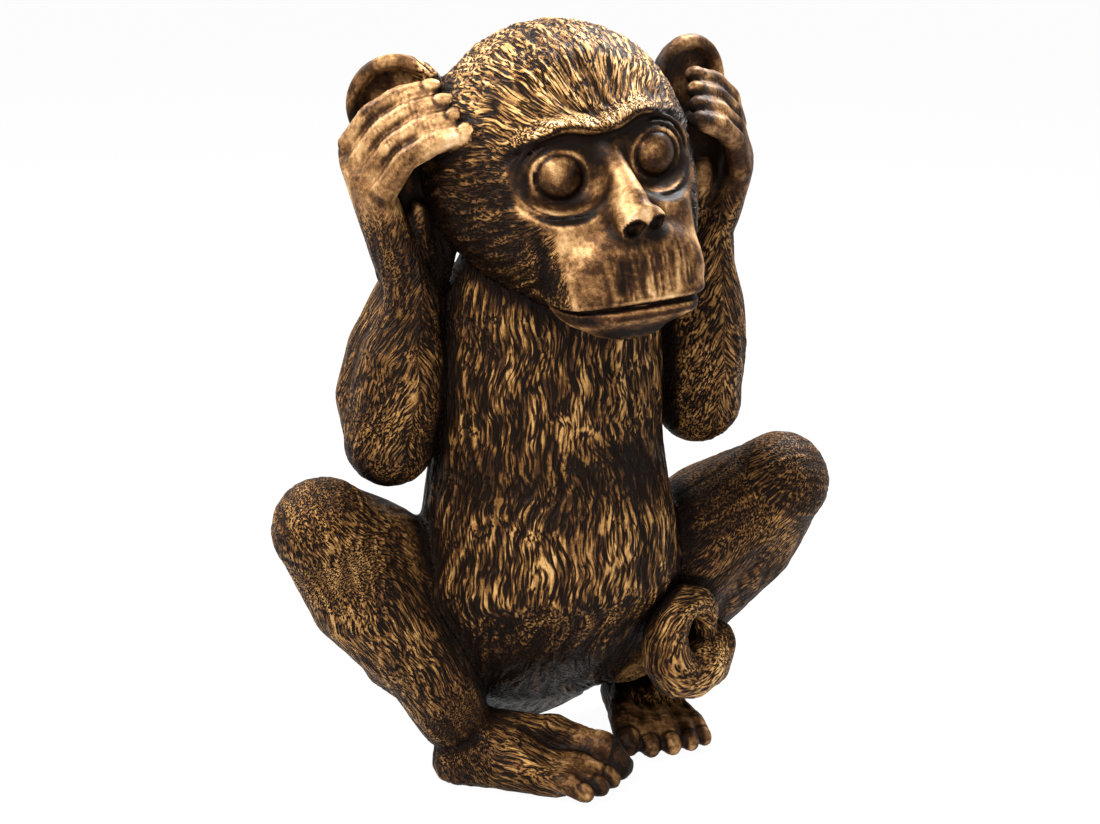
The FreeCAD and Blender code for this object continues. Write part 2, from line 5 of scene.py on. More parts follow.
import bmesh
import bpy
import numpy as np
import openvdb as vdb
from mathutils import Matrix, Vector


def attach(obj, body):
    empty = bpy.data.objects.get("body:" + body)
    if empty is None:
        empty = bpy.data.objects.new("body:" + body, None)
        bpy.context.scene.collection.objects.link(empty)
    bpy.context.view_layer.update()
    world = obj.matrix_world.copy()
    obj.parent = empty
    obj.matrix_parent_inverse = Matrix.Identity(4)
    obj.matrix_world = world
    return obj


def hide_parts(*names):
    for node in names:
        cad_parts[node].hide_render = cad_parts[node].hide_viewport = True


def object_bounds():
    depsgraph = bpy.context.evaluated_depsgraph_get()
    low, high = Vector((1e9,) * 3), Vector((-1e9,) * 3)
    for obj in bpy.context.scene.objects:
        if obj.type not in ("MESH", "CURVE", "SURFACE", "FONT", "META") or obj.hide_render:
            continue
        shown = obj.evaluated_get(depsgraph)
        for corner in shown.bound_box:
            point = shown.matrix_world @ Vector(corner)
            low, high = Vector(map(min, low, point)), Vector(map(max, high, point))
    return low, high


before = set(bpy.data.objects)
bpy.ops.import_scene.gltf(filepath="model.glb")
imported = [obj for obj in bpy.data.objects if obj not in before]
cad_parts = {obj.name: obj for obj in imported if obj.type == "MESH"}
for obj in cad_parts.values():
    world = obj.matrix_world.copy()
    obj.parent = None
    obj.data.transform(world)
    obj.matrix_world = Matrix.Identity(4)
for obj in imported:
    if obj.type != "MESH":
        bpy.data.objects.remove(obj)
cad_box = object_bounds()


# The master under the fur
# The real figurine is cast in resin from one carved master, so its skin runs on over the glued joins.
# The castings are laid into one field of distances to the skin, softened, and blended where they meet.

MM = 0.001
VOXEL = 0.00094
BAND_VOXELS, MARGIN_VOXELS = 8, 10
CASTINGS = ["torso", "head", "right_leg", "left_leg", "right_arm", "left_arm", "tail"]
TORSO, HEAD, RIGHT_LEG, LEFT_LEG, RIGHT_ARM, LEFT_ARM, TAIL = range(len(CASTINGS))
LEGS, ARMS = (RIGHT_LEG, LEFT_LEG), (RIGHT_ARM, LEFT_ARM)
PINS = ("shoulder_pins", "hip_pins", "tail_pin")
# How far each casting's facets are rounded off, and how wide its join to the others is blended.
SOFTENING = dict(zip(CASTINGS, (3.2 * MM, 2.6 * MM, 2.4 * MM, 2.4 * MM, 2.0 * MM, 2.0 * MM, 1.8 * MM)))
FINE_SOFTENING = 0.9 * MM
JOIN_WIDTH = dict(zip(CASTINGS, (0.0, 5 * MM, 7 * MM, 7 * MM, 3.5 * MM, 3.5 * MM, 1.5 * MM)))

field_start = np.floor(np.array(cad_box[0]) / VOXEL).astype(int) - MARGIN_VOXELS
field_shape = np.ceil(np.array(cad_box[1]) / VOXEL).astype(int) + MARGIN_VOXELS - field_start
far = np.float32(BAND_VOXELS * VOXEL)
skin = np.full(field_shape, far, np.float32)
nearest = np.full(field_shape, far, np.float32)
owner = np.zeros(field_shape, np.uint8)


def mm(*values):
    """Sizes or a place given in millimetres."""
    return np.array(values) * MM


def distance_block(node):
    """A node's signed distances on its part of the field, and where that starts."""
    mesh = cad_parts[node].data
    mesh.calc_loop_triangles()
    points = np.array([vertex.co[:] for vertex in mesh.vertices], np.float32)
    corners = np.array([triangle.vertices[:] for triangle in mesh.loop_triangles], np.uint32)
    grid = vdb.FloatGrid.createLevelSetFromPolygons(
        points,
        triangles=corners,
        transform=vdb.createLinearTransform(voxelSize=VOXEL),
        halfWidth=BAND_VOXELS,
    )
    start, shape = box_in_field(points.min(0), points.max(0), MARGIN_VOXELS)
    block = np.full(shape, far, np.float32)
    grid.copyToArray(block, ijk=tuple(int(v) for v in start))
    return block, start


def field_part(start, shape):
    """The slices of the whole field that a block covers."""
    return tuple(slice(a, a + n) for a, n in zip(start - field_start, shape))


def box_in_field(low, high, margin=0):
    """Where a box of the world starts in the field, and how many voxels it spans."""
    start = np.maximum(np.floor(low / VOXEL).astype(int) - margin, field_start)
    end = np.minimum(np.ceil(high / VOXEL).astype(int) + margin, field_start + field_shape)
    return start, end - start


def places(start, shape):
    """World coordinates of a block's voxels."""
    axes = [((start[a] + np.arange(shape[a])) * VOXEL).astype(np.float32) for a in range(3)]
    return np.meshgrid(*axes, indexing="ij")


def softened(block, reach):
    """The block blurred with a bell curve of that reach along each axis in turn."""
    sigma = reach / VOXEL
    taps = int(math.ceil(sigma * 2.2))
    weights = np.exp(-0.5 * (np.arange(-taps, taps + 1) / sigma) ** 2)
    weights = (weights / weights.sum()).astype(np.float32)
    for axis in range(3):
        wide = np.pad(block, [(taps, taps) if a == axis else (0, 0) for a in range(3)], mode="edge")
        total = np.zeros_like(block)
        for k, weight in enumerate(weights):
            part = [slice(None)] * 3
            part[axis] = slice(k, k + block.shape[axis])
            total += wide[tuple(part)] * weight
        block = total
    return block


def blended(a, b, width):
    """The union of two distance fields with a fillet of that width."""
    if width <= 0:
        return np.minimum(a, b)
    overlap = np.maximum(width - np.abs(a - b), 0) / width
    return np.minimum(a, b) - overlap * overlap * (width / 4)


def rise(value, low, high):
    """0 below low, 1 above high and a smooth rise between."""
    t = np.clip((value - low) / (high - low), 0, 1)
    return t * t * (3 - 2 * t)


def bell(value, width):
    """1 at zero, falling off smoothly to both sides over that width."""
    return np.exp(-((value / width) ** 2))


def rotation(angle, first, second):
    """A turn by that angle from the first axis to the second."""
    matrix = np.eye(3)
    matrix[first, first] = matrix[second, second] = math.cos(angle)
    matrix[second, first] = math.sin(angle)
    matrix[first, second] = -math.sin(angle)
    return matrix


# The head's own upright frame: across, forward and up from the middle of the cranium.
HEAD_CENTRE = mm(-2.5, -84.0, 280.0)
HEAD_TURN, HEAD_LEAN = math.radians(4.0), math.radians(-8.7)
head_matrix = rotation(HEAD_TURN, 0, 1) @ rotation(HEAD_LEAN, 2, 0)


def head_place(across, forward, up):
    """World place of a point of the head's own frame, given in millimetres."""
    return HEAD_CENTRE + head_matrix @ (np.array([across, -forward, up]) * MM)


def head_frame(x, y, z):
    """Across, forward and up of world coordinates in the head's own frame, in millimetres."""
    dx, dy, dz = (v - c for v, c in zip((x, y, z), HEAD_CENTRE))
    across, back, up = (row[0] * dx + row[1] * dy + row[2] * dz for row in head_matrix.T)
    return across / MM, -back / MM, up / MM


# The hollow casting cavities are filled; the slit of the mouth is closed, and is cut again with its lips.
CAVITY_RADIUS = 41.5 * MM
SLIT_CLOSING = 2 * MM
MOUTH_SLIT_UP, SLIT_HALF_HEIGHT, SLIT_FORWARD = -57.5, 4, 20
# Where the rounding off gives way to a finer one, for the ears, hands and toes.
EAR_ACROSS, HAND_HEIGHT, TOE_HEIGHT = (53, 57), (0.242, 0.252), (0.024, 0.036)
for index, node in enumerate(CASTINGS):
    block, start = distance_block(node)
    part = field_part(start, block.shape)
    x, y, z = places(start, block.shape)
    fine_share = None
    if node == "torso":
        solid = block < 0
        from_left = np.maximum.accumulate(solid, axis=0)
        from_right = np.maximum.accumulate(solid[::-1], axis=0)[::-1]
        block[from_left & from_right & ~solid] = -far
    elif node == "head":
        from_middle = np.sqrt(sum((v - c) ** 2 for v, c in zip((x, y, z), HEAD_CENTRE)))
        block = np.minimum(block, np.maximum(from_middle - CAVITY_RADIUS, -far))
        across, forward, up = head_frame(x, y, z)
        shift = int(round(SLIT_CLOSING / VOXEL))
        closed = np.minimum(np.roll(block, shift, axis=2), np.roll(block, -shift, axis=2))
        slit = (np.abs(up - MOUTH_SLIT_UP) < SLIT_HALF_HEIGHT) & (forward > SLIT_FORWARD)
        block = np.where(slit, np.minimum(closed, block), block)
        fine_share = rise(np.abs(across), *EAR_ACROSS)
    elif index in ARMS:
        fine_share = rise(z, *HAND_HEIGHT)
    elif index in LEGS:
        fine_share = 1 - rise(z, *TOE_HEIGHT)
    soft = softened(block, SOFTENING[node])
    if fine_share is not None:
        soft = soft * (1 - fine_share) + softened(block, FINE_SOFTENING) * fine_share
    owner[part][soft < nearest[part]] = index
    nearest[part] = np.minimum(nearest[part], soft)
    skin[part] = blended(skin[part], soft, JOIN_WIDTH[node])
for node in PINS:
    block, start = distance_block(node)
    part = field_part(start, block.shape)
    skin[part] = np.minimum(skin[part], block)
del nearest, x, y, z, block, soft


# Cupped palms
# The hands are one casting with the arms. Each cup is solid down to the side of the head, and its surface
# there is darkened as painted shade inside the cup.


def ellipsoid(x, y, z, centre, radii):
    """Distance to an ellipsoid, near enough close to its surface."""
    p = [(v - c) / r for v, c, r in zip((x, y, z), centre, radii)]
    q = [v / r for v, r in zip(p, radii)]
    length = np.sqrt(p[0] ** 2 + p[1] ** 2 + p[2] ** 2)
    slope = np.sqrt(q[0] ** 2 + q[1] ** 2 + q[2] ** 2)
    return length * (length - 1) / np.maximum(slope, 1e-6)


def add_form(index, low, high, width, form, *details):
    """Blends a form into one casting, within a box of the field."""
    start, shape = box_in_field(low, high)
    part = field_part(start, shape)
    distance = form(*places(start, shape), *details)
    owner[part][distance < skin[part]] = index
    skin[part] = np.clip(blended(skin[part], distance, width), -far, far)


# Middle and half sizes of each palm.
PALMS = {
    RIGHT_ARM: (mm(-58, -73, 247), mm(17, 8, 33)),
    LEFT_ARM: (mm(66, -74, 262), mm(19, 8, 30)),
}
PALM_FILLET, PALM_MARGIN = 3 * MM, 4 * MM
for index, (centre, radii) in PALMS.items():
    reach = radii + PALM_MARGIN
    add_form(index, centre - reach, centre + reach, PALM_FILLET, ellipsoid, centre, radii)


# Ears
# The ears are cast with the head. Each has a rolled rim round a carved dish, and looks a little outward.

EAR_TURN = math.radians(24)
EARS = {-1: mm(-62.5, -63, 299), 1: mm(64.5, -63, 302)}
EAR_FACING = {side: np.array([side * math.sin(EAR_TURN), -math.cos(EAR_TURN), 0]) for side in (-1, 1)}
EAR_BOX = 25 * MM
EAR_INNER_EDGE = 50 * MM
EAR_FILLET = 1.5 * MM
RIM_RADIUS, RIM_AHEAD, RIM_THICKNESS = 18.3, 3.4, 2.9
DISH_RADIUS, DISH_AHEAD, DISH_STEEPNESS = 15.0, 5.5, 2.4


def ear_frame(side, x, y, z):
    """Distance from an ear's axis and distance ahead of its middle, in millimetres."""
    rel = [(v - c) / MM for v, c in zip((x, y, z), EARS[side])]
    ahead = sum(r * f for r, f in zip(rel, EAR_FACING[side]))
    return np.sqrt(np.maximum(sum(r * r for r in rel) - ahead**2, 0)), ahead


def ear_rim(x, y, z, side):
    """Distance to the rolled rim."""
    spread, ahead = ear_frame(side, x, y, z)
    return (np.hypot(spread - RIM_RADIUS, ahead - RIM_AHEAD) - RIM_THICKNESS) * MM


def ear_dish(x, y, z, side):
    """Distance to the form that is cut out as the dish."""
    spread, ahead = ear_frame(side, x, y, z)
    return (np.hypot(spread, (ahead - DISH_AHEAD) * DISH_STEEPNESS) - DISH_RADIUS) * MM


for side in (-1, 1):
    low, high = EARS[side] - EAR_BOX, EARS[side] + EAR_BOX
    add_form(HEAD, low, high, EAR_FILLET, ear_rim, side)
    start, shape = box_in_field(low, high)
    part = field_part(start, shape)
    x, y, z = places(start, shape)
    on_ear = (owner[part] == HEAD) & (np.abs(x) > EAR_INNER_EDGE)
    cut = -blended(-skin[part], ear_dish(x, y, z, side), EAR_FILLET)
    skin[part] = np.where(on_ear, np.clip(cut, -far, far), skin[part])


# Feet
# The feet are cast with the legs. Tendons run over each instep and end in the toes' knuckles.


def capsule(x, y, z, start, end, start_radius, end_radius):
    """Distance to a rod with round ends that tapers from one radius to the other."""
    axis = [e - s for s, e in zip(start, end)]
    length_squared = sum(a * a for a in axis)
    rel = [v - s for v, s in zip((x, y, z), start)]
    along = np.clip(sum(r * a for r, a in zip(rel, axis)) / length_squared, 0, 1)
    away = np.sqrt(sum((r - along * a) ** 2 for r, a in zip(rel, axis)))
    return away - (start_radius + (end_radius - start_radius) * along)


FOOT_TURN = {RIGHT_LEG: math.radians(32.5), LEFT_LEG: math.radians(97.0)}
FOOT_LENGTH = {RIGHT_LEG: 88 * MM, LEFT_LEG: 83 * MM}
# Hip, knee, ankle and toes of each leg.
LEG_JOINTS = {
    RIGHT_LEG: mm((-46, -40, 56), (-104, -85, 127), (-41.5, -69, 27), (26, -112, 8)),
    LEFT_LEG: mm((46, -40, 56), (104, -85, 127), (62, -16, 27), (53, -88, 8)),
}
HEEL_BEHIND_ANKLE, FOOT_HALF_WIDTH, TOE_LENGTH, TOE_RADIUS = mm(11, 19.5, 28, 5.8)
PAD_THICKNESS = 1.5 * MM
TOE_ROOT_SHARE, TOE_KNUCKLE_SHARE = 0.60, 0.5
# Each toe from the inner side: share of the half width outward, turn outward, shares of length and radius.
TOES_OF_A_FOOT = (
    (-0.74, -8, 0.86, 1.20),
    (-0.33, -4, 1.0, 1.0),
    (0.06, 1, 0.98, 0.98),
    (0.43, 6, 0.88, 0.92),
    (0.76, 11, 0.72, 0.84),
)


def foot_place(index, along, outward, height):
    """World place from a foot's heel: along its length, outward from the body and up."""
    turn, side = FOOT_TURN[index], -1 if index == RIGHT_LEG else 1
    ahead = np.array([math.cos(turn), -math.sin(turn), 0])
    aside = np.array([side * math.sin(turn), side * math.cos(turn), 0])
    heel = LEG_JOINTS[index][2] * [1, 1, 0] - ahead * HEEL_BEHIND_ANKLE
    return heel + ahead * along + aside * outward + np.array([0, 0, height])


def add_tendon(index, start, end, start_radius, end_radius, width, margin):
    """Blends a tapered rod into a leg."""
    low, high = np.minimum(start, end) - margin, np.maximum(start, end) + margin
    add_form(index, low, high, width, capsule, start, end, start_radius, end_radius)


# The toe tendons start close together on the instep; rise and thickness are shares of a toe's radius.
INSTEP_SHARE, INSTEP_GATHERING, INSTEP_HEIGHT = 0.42, 0.7, 21 * MM
ROOT_RISE, KNUCKLE_RISE, KNUCKLE_SPREAD = 1.9, 1.85, 1.04
INSTEP_THICKNESS, KNUCKLE_THICKNESS = 0.72, 0.9
for index in LEGS:
    length = FOOT_LENGTH[index]
    for outward_share, _, length_share, radius_share in TOES_OF_A_FOOT:
        radius, outward = TOE_RADIUS * radius_share, outward_share * FOOT_HALF_WIDTH
        root = TOE_ROOT_SHARE * length
        knuckle = root + TOE_KNUCKLE_SHARE * TOE_LENGTH * length_share
        rear = foot_place(index, INSTEP_SHARE * length, outward * INSTEP_GATHERING, INSTEP_HEIGHT)
        middle = foot_place(index, root, outward, PAD_THICKNESS + radius * ROOT_RISE)
        front = foot_place(index, knuckle, outward * KNUCKLE_SPREAD, PAD_THICKNESS + radius * KNUCKLE_RISE)
        for start, end, share in ((rear, middle, INSTEP_THICKNESS), (middle, front, KNUCKLE_THICKNESS)):
            add_tendon(index, start, end, share * radius, share * radius, width=1.5 * MM, margin=8 * MM)

# The tendon of the right big toe stands up along the foot's inner edge: along, outward and up, in mm.
BIG_TOE_TENDON = ((20, -10, 24), (52, -11, 22.5), (74.5, -11.5, 16), (82, -12, 8))
tendon_places = [foot_place(RIGHT_LEG, *mm(*place)) for place in BIG_TOE_TENDON]
for start, end in zip(tendon_places, tendon_places[1:]):
    add_tendon(RIGHT_LEG, start, end, 5.8 * MM, 5.6 * MM, width=4 * MM, margin=10 * MM)


# Brow and eye sockets
# The face is carved bare between the fur of the brow and of the cheeks, over two deep round sockets.
# From here to the mouth, sizes are in millimetres in the head's own frame.

FACE_ACROSS, FACE_FORWARD, FACE_UP = (-62, 62), (0, 95), (-75, 45)
FACE_MIDDLE = 1.5
corners = np.array([head_place(a, f, u) for a in FACE_ACROSS for f in FACE_FORWARD for u in FACE_UP])
face_start, face_shape = box_in_field(corners.min(0), corners.max(0))
face_part = field_part(face_start, face_shape)
across, forward, up = head_frame(*places(face_start, face_shape))
face = skin[face_part] / MM

EYE_SPACING, EYE_FORWARD, EYE_UP, EYE_RADIUS = 40.0, 44.0, 0.8, 11.6
EYE_SPLAY = math.radians(10)
# An eye's opening is wider than it is high.
EYE_WIDENING = 1.13
SOCKET_CENTRE, SOCKET_RADII, SOCKET_FILLET = (0, 14.5, 0.5), (17.0, 10.5, 14.0), 4.0


def brow_line(across):
    """Height of the brow's crest: low over the nose, high over the eyes, falling away to the temples."""
    aside = np.abs(across - FACE_MIDDLE)
    return 17.3 + 3.6 * bell(aside - 17, 9) - 0.008 * np.maximum(aside - 20, 0) ** 2


def eye_frame(side, across, forward, up):
    """Aside, ahead and above of one eye, which looks a little outward."""
    gaze = math.sin(EYE_SPLAY) * side, math.cos(EYE_SPLAY)
    da, df, above = across - FACE_MIDDLE - side * EYE_SPACING / 2, forward - EYE_FORWARD, up - EYE_UP
    return da * gaze[1] - df * gaze[0], da * gaze[0] + df * gaze[1], above


in_front = rise(forward, 28, 40)
aside_of_face = np.abs(across - FACE_MIDDLE)
over_crest = up - brow_line(across)
face -= 2.0 * bell(over_crest, 3.4) * in_front * (1 - rise(aside_of_face, 34, 46))
for side in (-1, 1):
    socket = ellipsoid(*eye_frame(side, across, forward, up), SOCKET_CENTRE, SOCKET_RADII)
    face = -blended(-face, socket, SOCKET_FILLET)
face += 1.7 * bell(over_crest + 4.6, 2.2) * in_front * (1 - rise(aside_of_face, 30, 44))


# Eyes
# The balls are plain domes in one piece with the head, set in a thick rim of lids with folds round it.

# Rings round the eye: distance from its middle, place ahead of the ball's middle, thickness and fillet.
OUTER_FOLD = (15.4, 3.4, 1.15, 0.8)
INNER_FOLD = (12.6, 4.7, 1.05, 0.5)
EYE_BAG = (12.9, 3.8, 1.2, 1.2)
LID_RIM = (10.0, 5.7, 1.25, 0.4)
# The outer corner of the lids as a rod: start, end and both radii.
LID_CORNER, CORNER_FILLET = ((10.5, 4.6, -2.0), (16.5, 0.0, -4.5), 1.6, 0.9), 0.8
POUCH_HALF_WIDTH, POUCH_HALF_HEIGHT = 21.5, 15.5


def add_ring(face, opening, ahead, ring, sinking):
    """The face with one ring round the eye, sunk where it isn't seen."""
    radius, place, thickness, fillet = ring
    return blended(face, np.hypot(opening - radius, ahead - place) - thickness + sinking, fillet)


for side in (-1, 1):
    aside, ahead, above = eye_frame(side, across, forward, up)
    opening = np.hypot(aside / EYE_WIDENING, above)
    upper = rise(above, -6, 1)
    for ring, sinking in ((OUTER_FOLD, 1 - upper), (INNER_FOLD, 1 - upper), (EYE_BAG, upper)):
        face = add_ring(face, opening, ahead, ring, 3 * sinking)
    face = blended(face, capsule(side * aside, ahead, above, *LID_CORNER), CORNER_FILLET)
    face = add_ring(face, opening, ahead, LID_RIM, 0)
    face = np.minimum(face, np.sqrt(aside**2 + ahead**2 + above**2) - EYE_RADIUS)
    # a groove runs round under the bag, with a swelling inside it
    pouch = np.hypot(aside / POUCH_HALF_WIDTH, above / POUCH_HALF_HEIGHT)
    below = in_front * rise(-above, 1, 5) * rise(side * aside, -12, -4)
    face += 1.0 * bell((pouch - 1.0) * 17, 1.2) * below
    face -= 0.7 * bell((pouch - 0.86) * 17, 1.8) * below


# Nose
# A narrow bridge widens to a rounded tip with two wings. The nostrils are cut in from below.

NOSE_ACROSS = 3.0
# The bridge as a rod, the tip as middle and half sizes.
BRIDGE, TIP = ((1.5, 48, 13), (2.6, 70.0, -9.0), 2.7, 3.6), ((NOSE_ACROSS, 75.8, -14.8), (4.5, 5.0, 4.4))
WING_ASIDE, WING_RADII = 5.3, (4.4, 6.6, 5.0)
NOSTRIL_ASIDE, NOSTRIL_RADII = 5.2, (4.3, 8.0, 4.0)
BRIDGE_FILLET, TIP_FILLET, WING_FILLET, NOSTRIL_FILLET = 5.0, 3.0, 2.6, 0.8


def nostril(side, across, forward, up):
    """Distance to the form that is cut out as a nostril."""
    return ellipsoid(across, forward, up, (NOSE_ACROSS + side * NOSTRIL_ASIDE, 79.5, -20.6), NOSTRIL_RADII)


face = blended(face, capsule(across, forward, up, *BRIDGE), BRIDGE_FILLET)
face = blended(face, ellipsoid(across, forward, up, *TIP), TIP_FILLET)
for side in (-1, 1):
    wing_centre = (NOSE_ACROSS + side * WING_ASIDE, 72.5, -18.4)
    face = blended(face, ellipsoid(across, forward, up, wing_centre, WING_RADII), WING_FILLET)
for side in (-1, 1):
    face = -blended(-face, nostril(side, across, forward, up), NOSTRIL_FILLET)


# Mouth and muzzle
# The closed mouth is a cut line between two full lips, with a groove down from the nose.
# The muzzle is set off from the cheeks by a shallow edge.


def mouth_line(across):
    """Height of the line between the lips, which falls to both corners."""
    return -51.3 - 0.09 * (across + 2) - 0.0016 * (across + 2) ** 2


over_mouth = up - mouth_line(across)
mouth_span = rise(forward, 34, 46) * (1 - rise(np.abs(across), 31, 36))
lip_middle = 1 - rise(np.abs(across - 4), 16, 28)
face += 2.0 * bell(over_mouth, 0.95) * mouth_span
face -= 1.0 * bell(over_mouth - 3.4, 2.2) * mouth_span
face -= 1.6 * bell(over_mouth + 4.6, 3.2) * mouth_span * lip_middle
face += 1.2 * bell(over_mouth + 10.5, 2.6) * mouth_span
under_nose = rise(forward, 58, 66) * rise(up, -50, -44) * (1 - rise(up, -28, -24))
face += 0.9 * bell(across - NOSE_ACROSS + 0.3, 1.1) * under_nose
muzzle_edge = np.abs(across) - 31.5 - 0.10 * np.maximum(up + 30, 0)
muzzle_span = rise(forward, 30, 40) * rise(-up, 16, 24) * rise(up, -58, -50)
face += 1.1 * bell(muzzle_edge - 1.5, 1.6) * muzzle_span
skin[face_part] = np.clip(face * MM, -far, far)
del across, forward, up, face


# The skin as a mesh
# The finished field is turned into one mesh of quads, whose vertices know the casting that they lie on.

grid = vdb.FloatGrid(float(far))
grid.transform = vdb.createLinearTransform(voxelSize=VOXEL)
grid.copyFromArray(skin, ijk=tuple(int(v) for v in field_start), tolerance=float(far) * 1e-4)
co, quads = grid.convertToQuads(isovalue=0.0)
co = np.ascontiguousarray(co, np.float64)
quads = np.asarray(quads, np.int64)
del grid


def vertex_normals(points, faces):
    """Unit normals at the vertices."""
    diagonal_a = points[faces[:, 2]] - points[faces[:, 0]]
    diagonal_b = points[faces[:, 3]] - points[faces[:, 1]]
    face_normal = np.cross(diagonal_a, diagonal_b)
    total = np.zeros_like(points)
    for axis in range(3):
        per_corner = np.repeat(face_normal[:, axis], 4)
        total[:, axis] = np.bincount(faces.ravel(), weights=per_corner, minlength=len(points))
    return total / np.maximum(np.linalg.norm(total, axis=1, keepdims=True), 1e-12)


def field_values(source, points):
    """The field's value in the voxel that each point lies in."""
    cell = np.rint(points / VOXEL).astype(int) - field_start
    cell = np.clip(cell, 0, field_shape - 1)
    return source[cell[:, 0], cell[:, 1], cell[:, 2]]


def between_corners(source, low, high, part):
    """Values of a grid at places in its cells, evened out between the eight corners of each cell."""
    corners, shares = (low, high), (1 - part, part)
    total = np.zeros(len(part), np.float32)
    for i, j, k in np.ndindex(2, 2, 2):
        weight = shares[i][:, 0] * shares[j][:, 1] * shares[k][:, 2]
        total += weight * source[corners[i][:, 0], corners[j][:, 1], corners[k][:, 2]]
    return total


def smooth_values(source, points):
    """The field's value at each point, evened out between the voxels round it."""
    place = np.clip(points / VOXEL - field_start, 0, field_shape - 1.001)
    cell = place.astype(int)
    return between_corners(source, cell, cell + 1, (place - cell).astype(np.float32))


normals = vertex_normals(co, quads)
probe = normals * 3 * VOXEL
if (field_values(skin, co + probe) - field_values(skin, co - probe)).mean() < 0:
    quads = quads[:, ::-1]
    normals = -normals
owners = field_values(owner, co - normals * VOXEL)


# Carved fur
# The master's fur is cut in strands about 1 mm wide and 16 mm long, gathered in locks twice as wide.
# Noise is smeared along the way the fur lies, which gives each strand its ridge and its groove.

rng = np.random.default_rng(7)
LATTICE = 64
lattices = [rng.random((LATTICE, LATTICE, LATTICE)).astype(np.float32) for _ in range(3)]


def value_noise(points, cell, lattice):
    """Smooth noise from 0 to 1 with features of the size of a cell."""
    p = points / cell
    base = np.floor(p).astype(np.int64)
    t = (p - base).astype(np.float32)
    base &= LATTICE - 1
    return between_corners(lattice, base, (base + 1) & (LATTICE - 1), t * t * (3 - 2 * t))


def swirl(points, cell):
    """A slowly turning vector that makes locks wander."""
    return np.stack([value_noise(points, cell, lattice) - 0.5 for lattice in lattices], axis=1)


def unit(vectors):
    """Vectors brought to length one."""
    return vectors / np.maximum(np.linalg.norm(vectors, axis=-1, keepdims=True), 1e-9)


def nearest_share(points, start, end):
    """How far along a line each point lies, and its distance from it."""
    axis = end - start
    share = np.clip((points - start) @ axis / (axis @ axis), 0, 1)
    return share, np.linalg.norm(points - start - share[:, None] * axis, axis=1)


# Fingertips, knuckles, wrist, elbow and shoulder of each arm.
ARM_JOINTS = {
    RIGHT_ARM: mm((-51, -99, 301), (-81, -76, 274), (-62.5, -79, 222), (-70.5, -70, 158), (-48.5, -53, 210)),
    LEFT_ARM: mm((55, -99, 301), (85, -76, 274), (70, -79, 238), (70.5, -70, 164), (48.5, -53, 210)),
}
ARMPIT_HEIGHT = 225 * MM
CURL_CENTRE, TAIL_BEND_CENTRE = mm(59, -92, 60.5), mm(30, -15, 0)
# The head's fur spreads from a point in front of the nose.
WHORL = head_place(0, 78, -2)


def torso_wave(points):
    """The sideways wave of the torso's locks, from -1 to 1."""
    return np.sin(points[:, 2] / (5.2 * MM) + 5 * value_noise(points, 30 * MM, lattices[1]))


def on_upper_arm(y, z, elbow):
    """1 on the upper arm, which runs behind the forearm, and 0 on the forearm."""
    return (rise(y, elbow[1] + 12 * MM, elbow[1] + 24 * MM) * (z < ARMPIT_HEIGHT))[:, None]


def forearm_middle(z, elbow, wrist):
    """Where the forearm's fur parts, at each height."""
    return elbow[0] + (wrist[0] - elbow[0]) * np.clip((z - elbow[2]) / (wrist[2] - elbow[2]), 0, 1) + 2 * MM


def on_tail_bend(y):
    """1 on the tail's bend round the foot and 0 on its curl."""
    return rise(y, -66 * MM, -50 * MM)[:, None]


def limb_lie(points, joints):
    """Fur direction along the nearest stretch of a limb, turning at each joint."""
    total = np.zeros_like(points)
    for start, end in zip(joints, joints[1:]):
        away = nearest_share(points, start, end)[1]
        total += unit(end - start) * np.exp(-away / (5 * MM))[:, None]
    return unit(total)


def fur_lie(points, index):
    """The way the fur lies on a casting, before it is laid flat on the skin."""
    x, y, z = points.T
    wander = swirl(points, 22 * MM)
    if index == TORSO:
        sideways = 0.20 * torso_wave(points) + x / (260 * MM)
        return np.stack([sideways, 0 * x, 0 * x - 1], axis=1) + wander * 0.9
    if index == HEAD:
        lie = unit(points - WHORL)
        lie[:, 2] -= 0.15
        return lie + wander * 0.45
    if index in ARMS:
        # down from the fingertips, fanning out from the middle of the forearm
        wrist, elbow, shoulder = ARM_JOINTS[index][2:]
        lie = limb_lie(points, ARM_JOINTS[index][:4])
        upper = on_upper_arm(y, z, elbow)
        lie = lie * (1 - upper) + unit(elbow - shoulder) * upper
        fan = np.clip((x - forearm_middle(z, elbow, wrist)) / (6 * MM), -1, 1)
        lie[:, 0] += 0.85 * fan * rise(wrist[2] + 15 * MM - z, 0, 20 * MM) * (1 - upper[:, 0])
        return lie + wander * 0.4
    if index in LEGS:
        # down from the hip, swept outward on the shin
        joints, outward = LEG_JOINTS[index], -1 if index == RIGHT_LEG else 1
        lie = limb_lie(points, joints)
        share = nearest_share(points, joints[1], joints[2])[0]
        lie[:, 0] += outward * 0.35 * rise(share, 0.05, 0.3) * (1 - rise(share, 0.8, 1.0))
        return lie + wander * 0.5
    rel, around = points - CURL_CENTRE, points - TAIL_BEND_CENTRE
    curl = np.stack([rel[:, 2] * 0.91, rel[:, 2] * 0.41, -rel[:, 0]], axis=1)
    bend = np.stack([around[:, 1], -around[:, 0], 0 * x], axis=1)
    share = on_tail_bend(y)
    return unit(curl) * (1 - share) + unit(bend) * share + wander * 0.25


# Width and half length of the fine strands and of the locks on each casting, in mm.
FINE_CUT = [(1.05, 7.0), (1.05, 8.0), (1.15, 8.0), (1.15, 8.0), (1.15, 7.0), (1.15, 7.0), (1.15, 9.0)]
LOCK_CUT = [(2.4, 11.0), (2.2, 11.0), (2.6, 11.0), (2.6, 11.0), (2.4, 9.0), (2.4, 9.0), (2.6, 13.0)]
FINE_OFFSET, LOCK_OFFSET = mm(3.7, 1.3, 2.1), mm(3.7, 1.3, 2.1) * 3
STEPS = 7


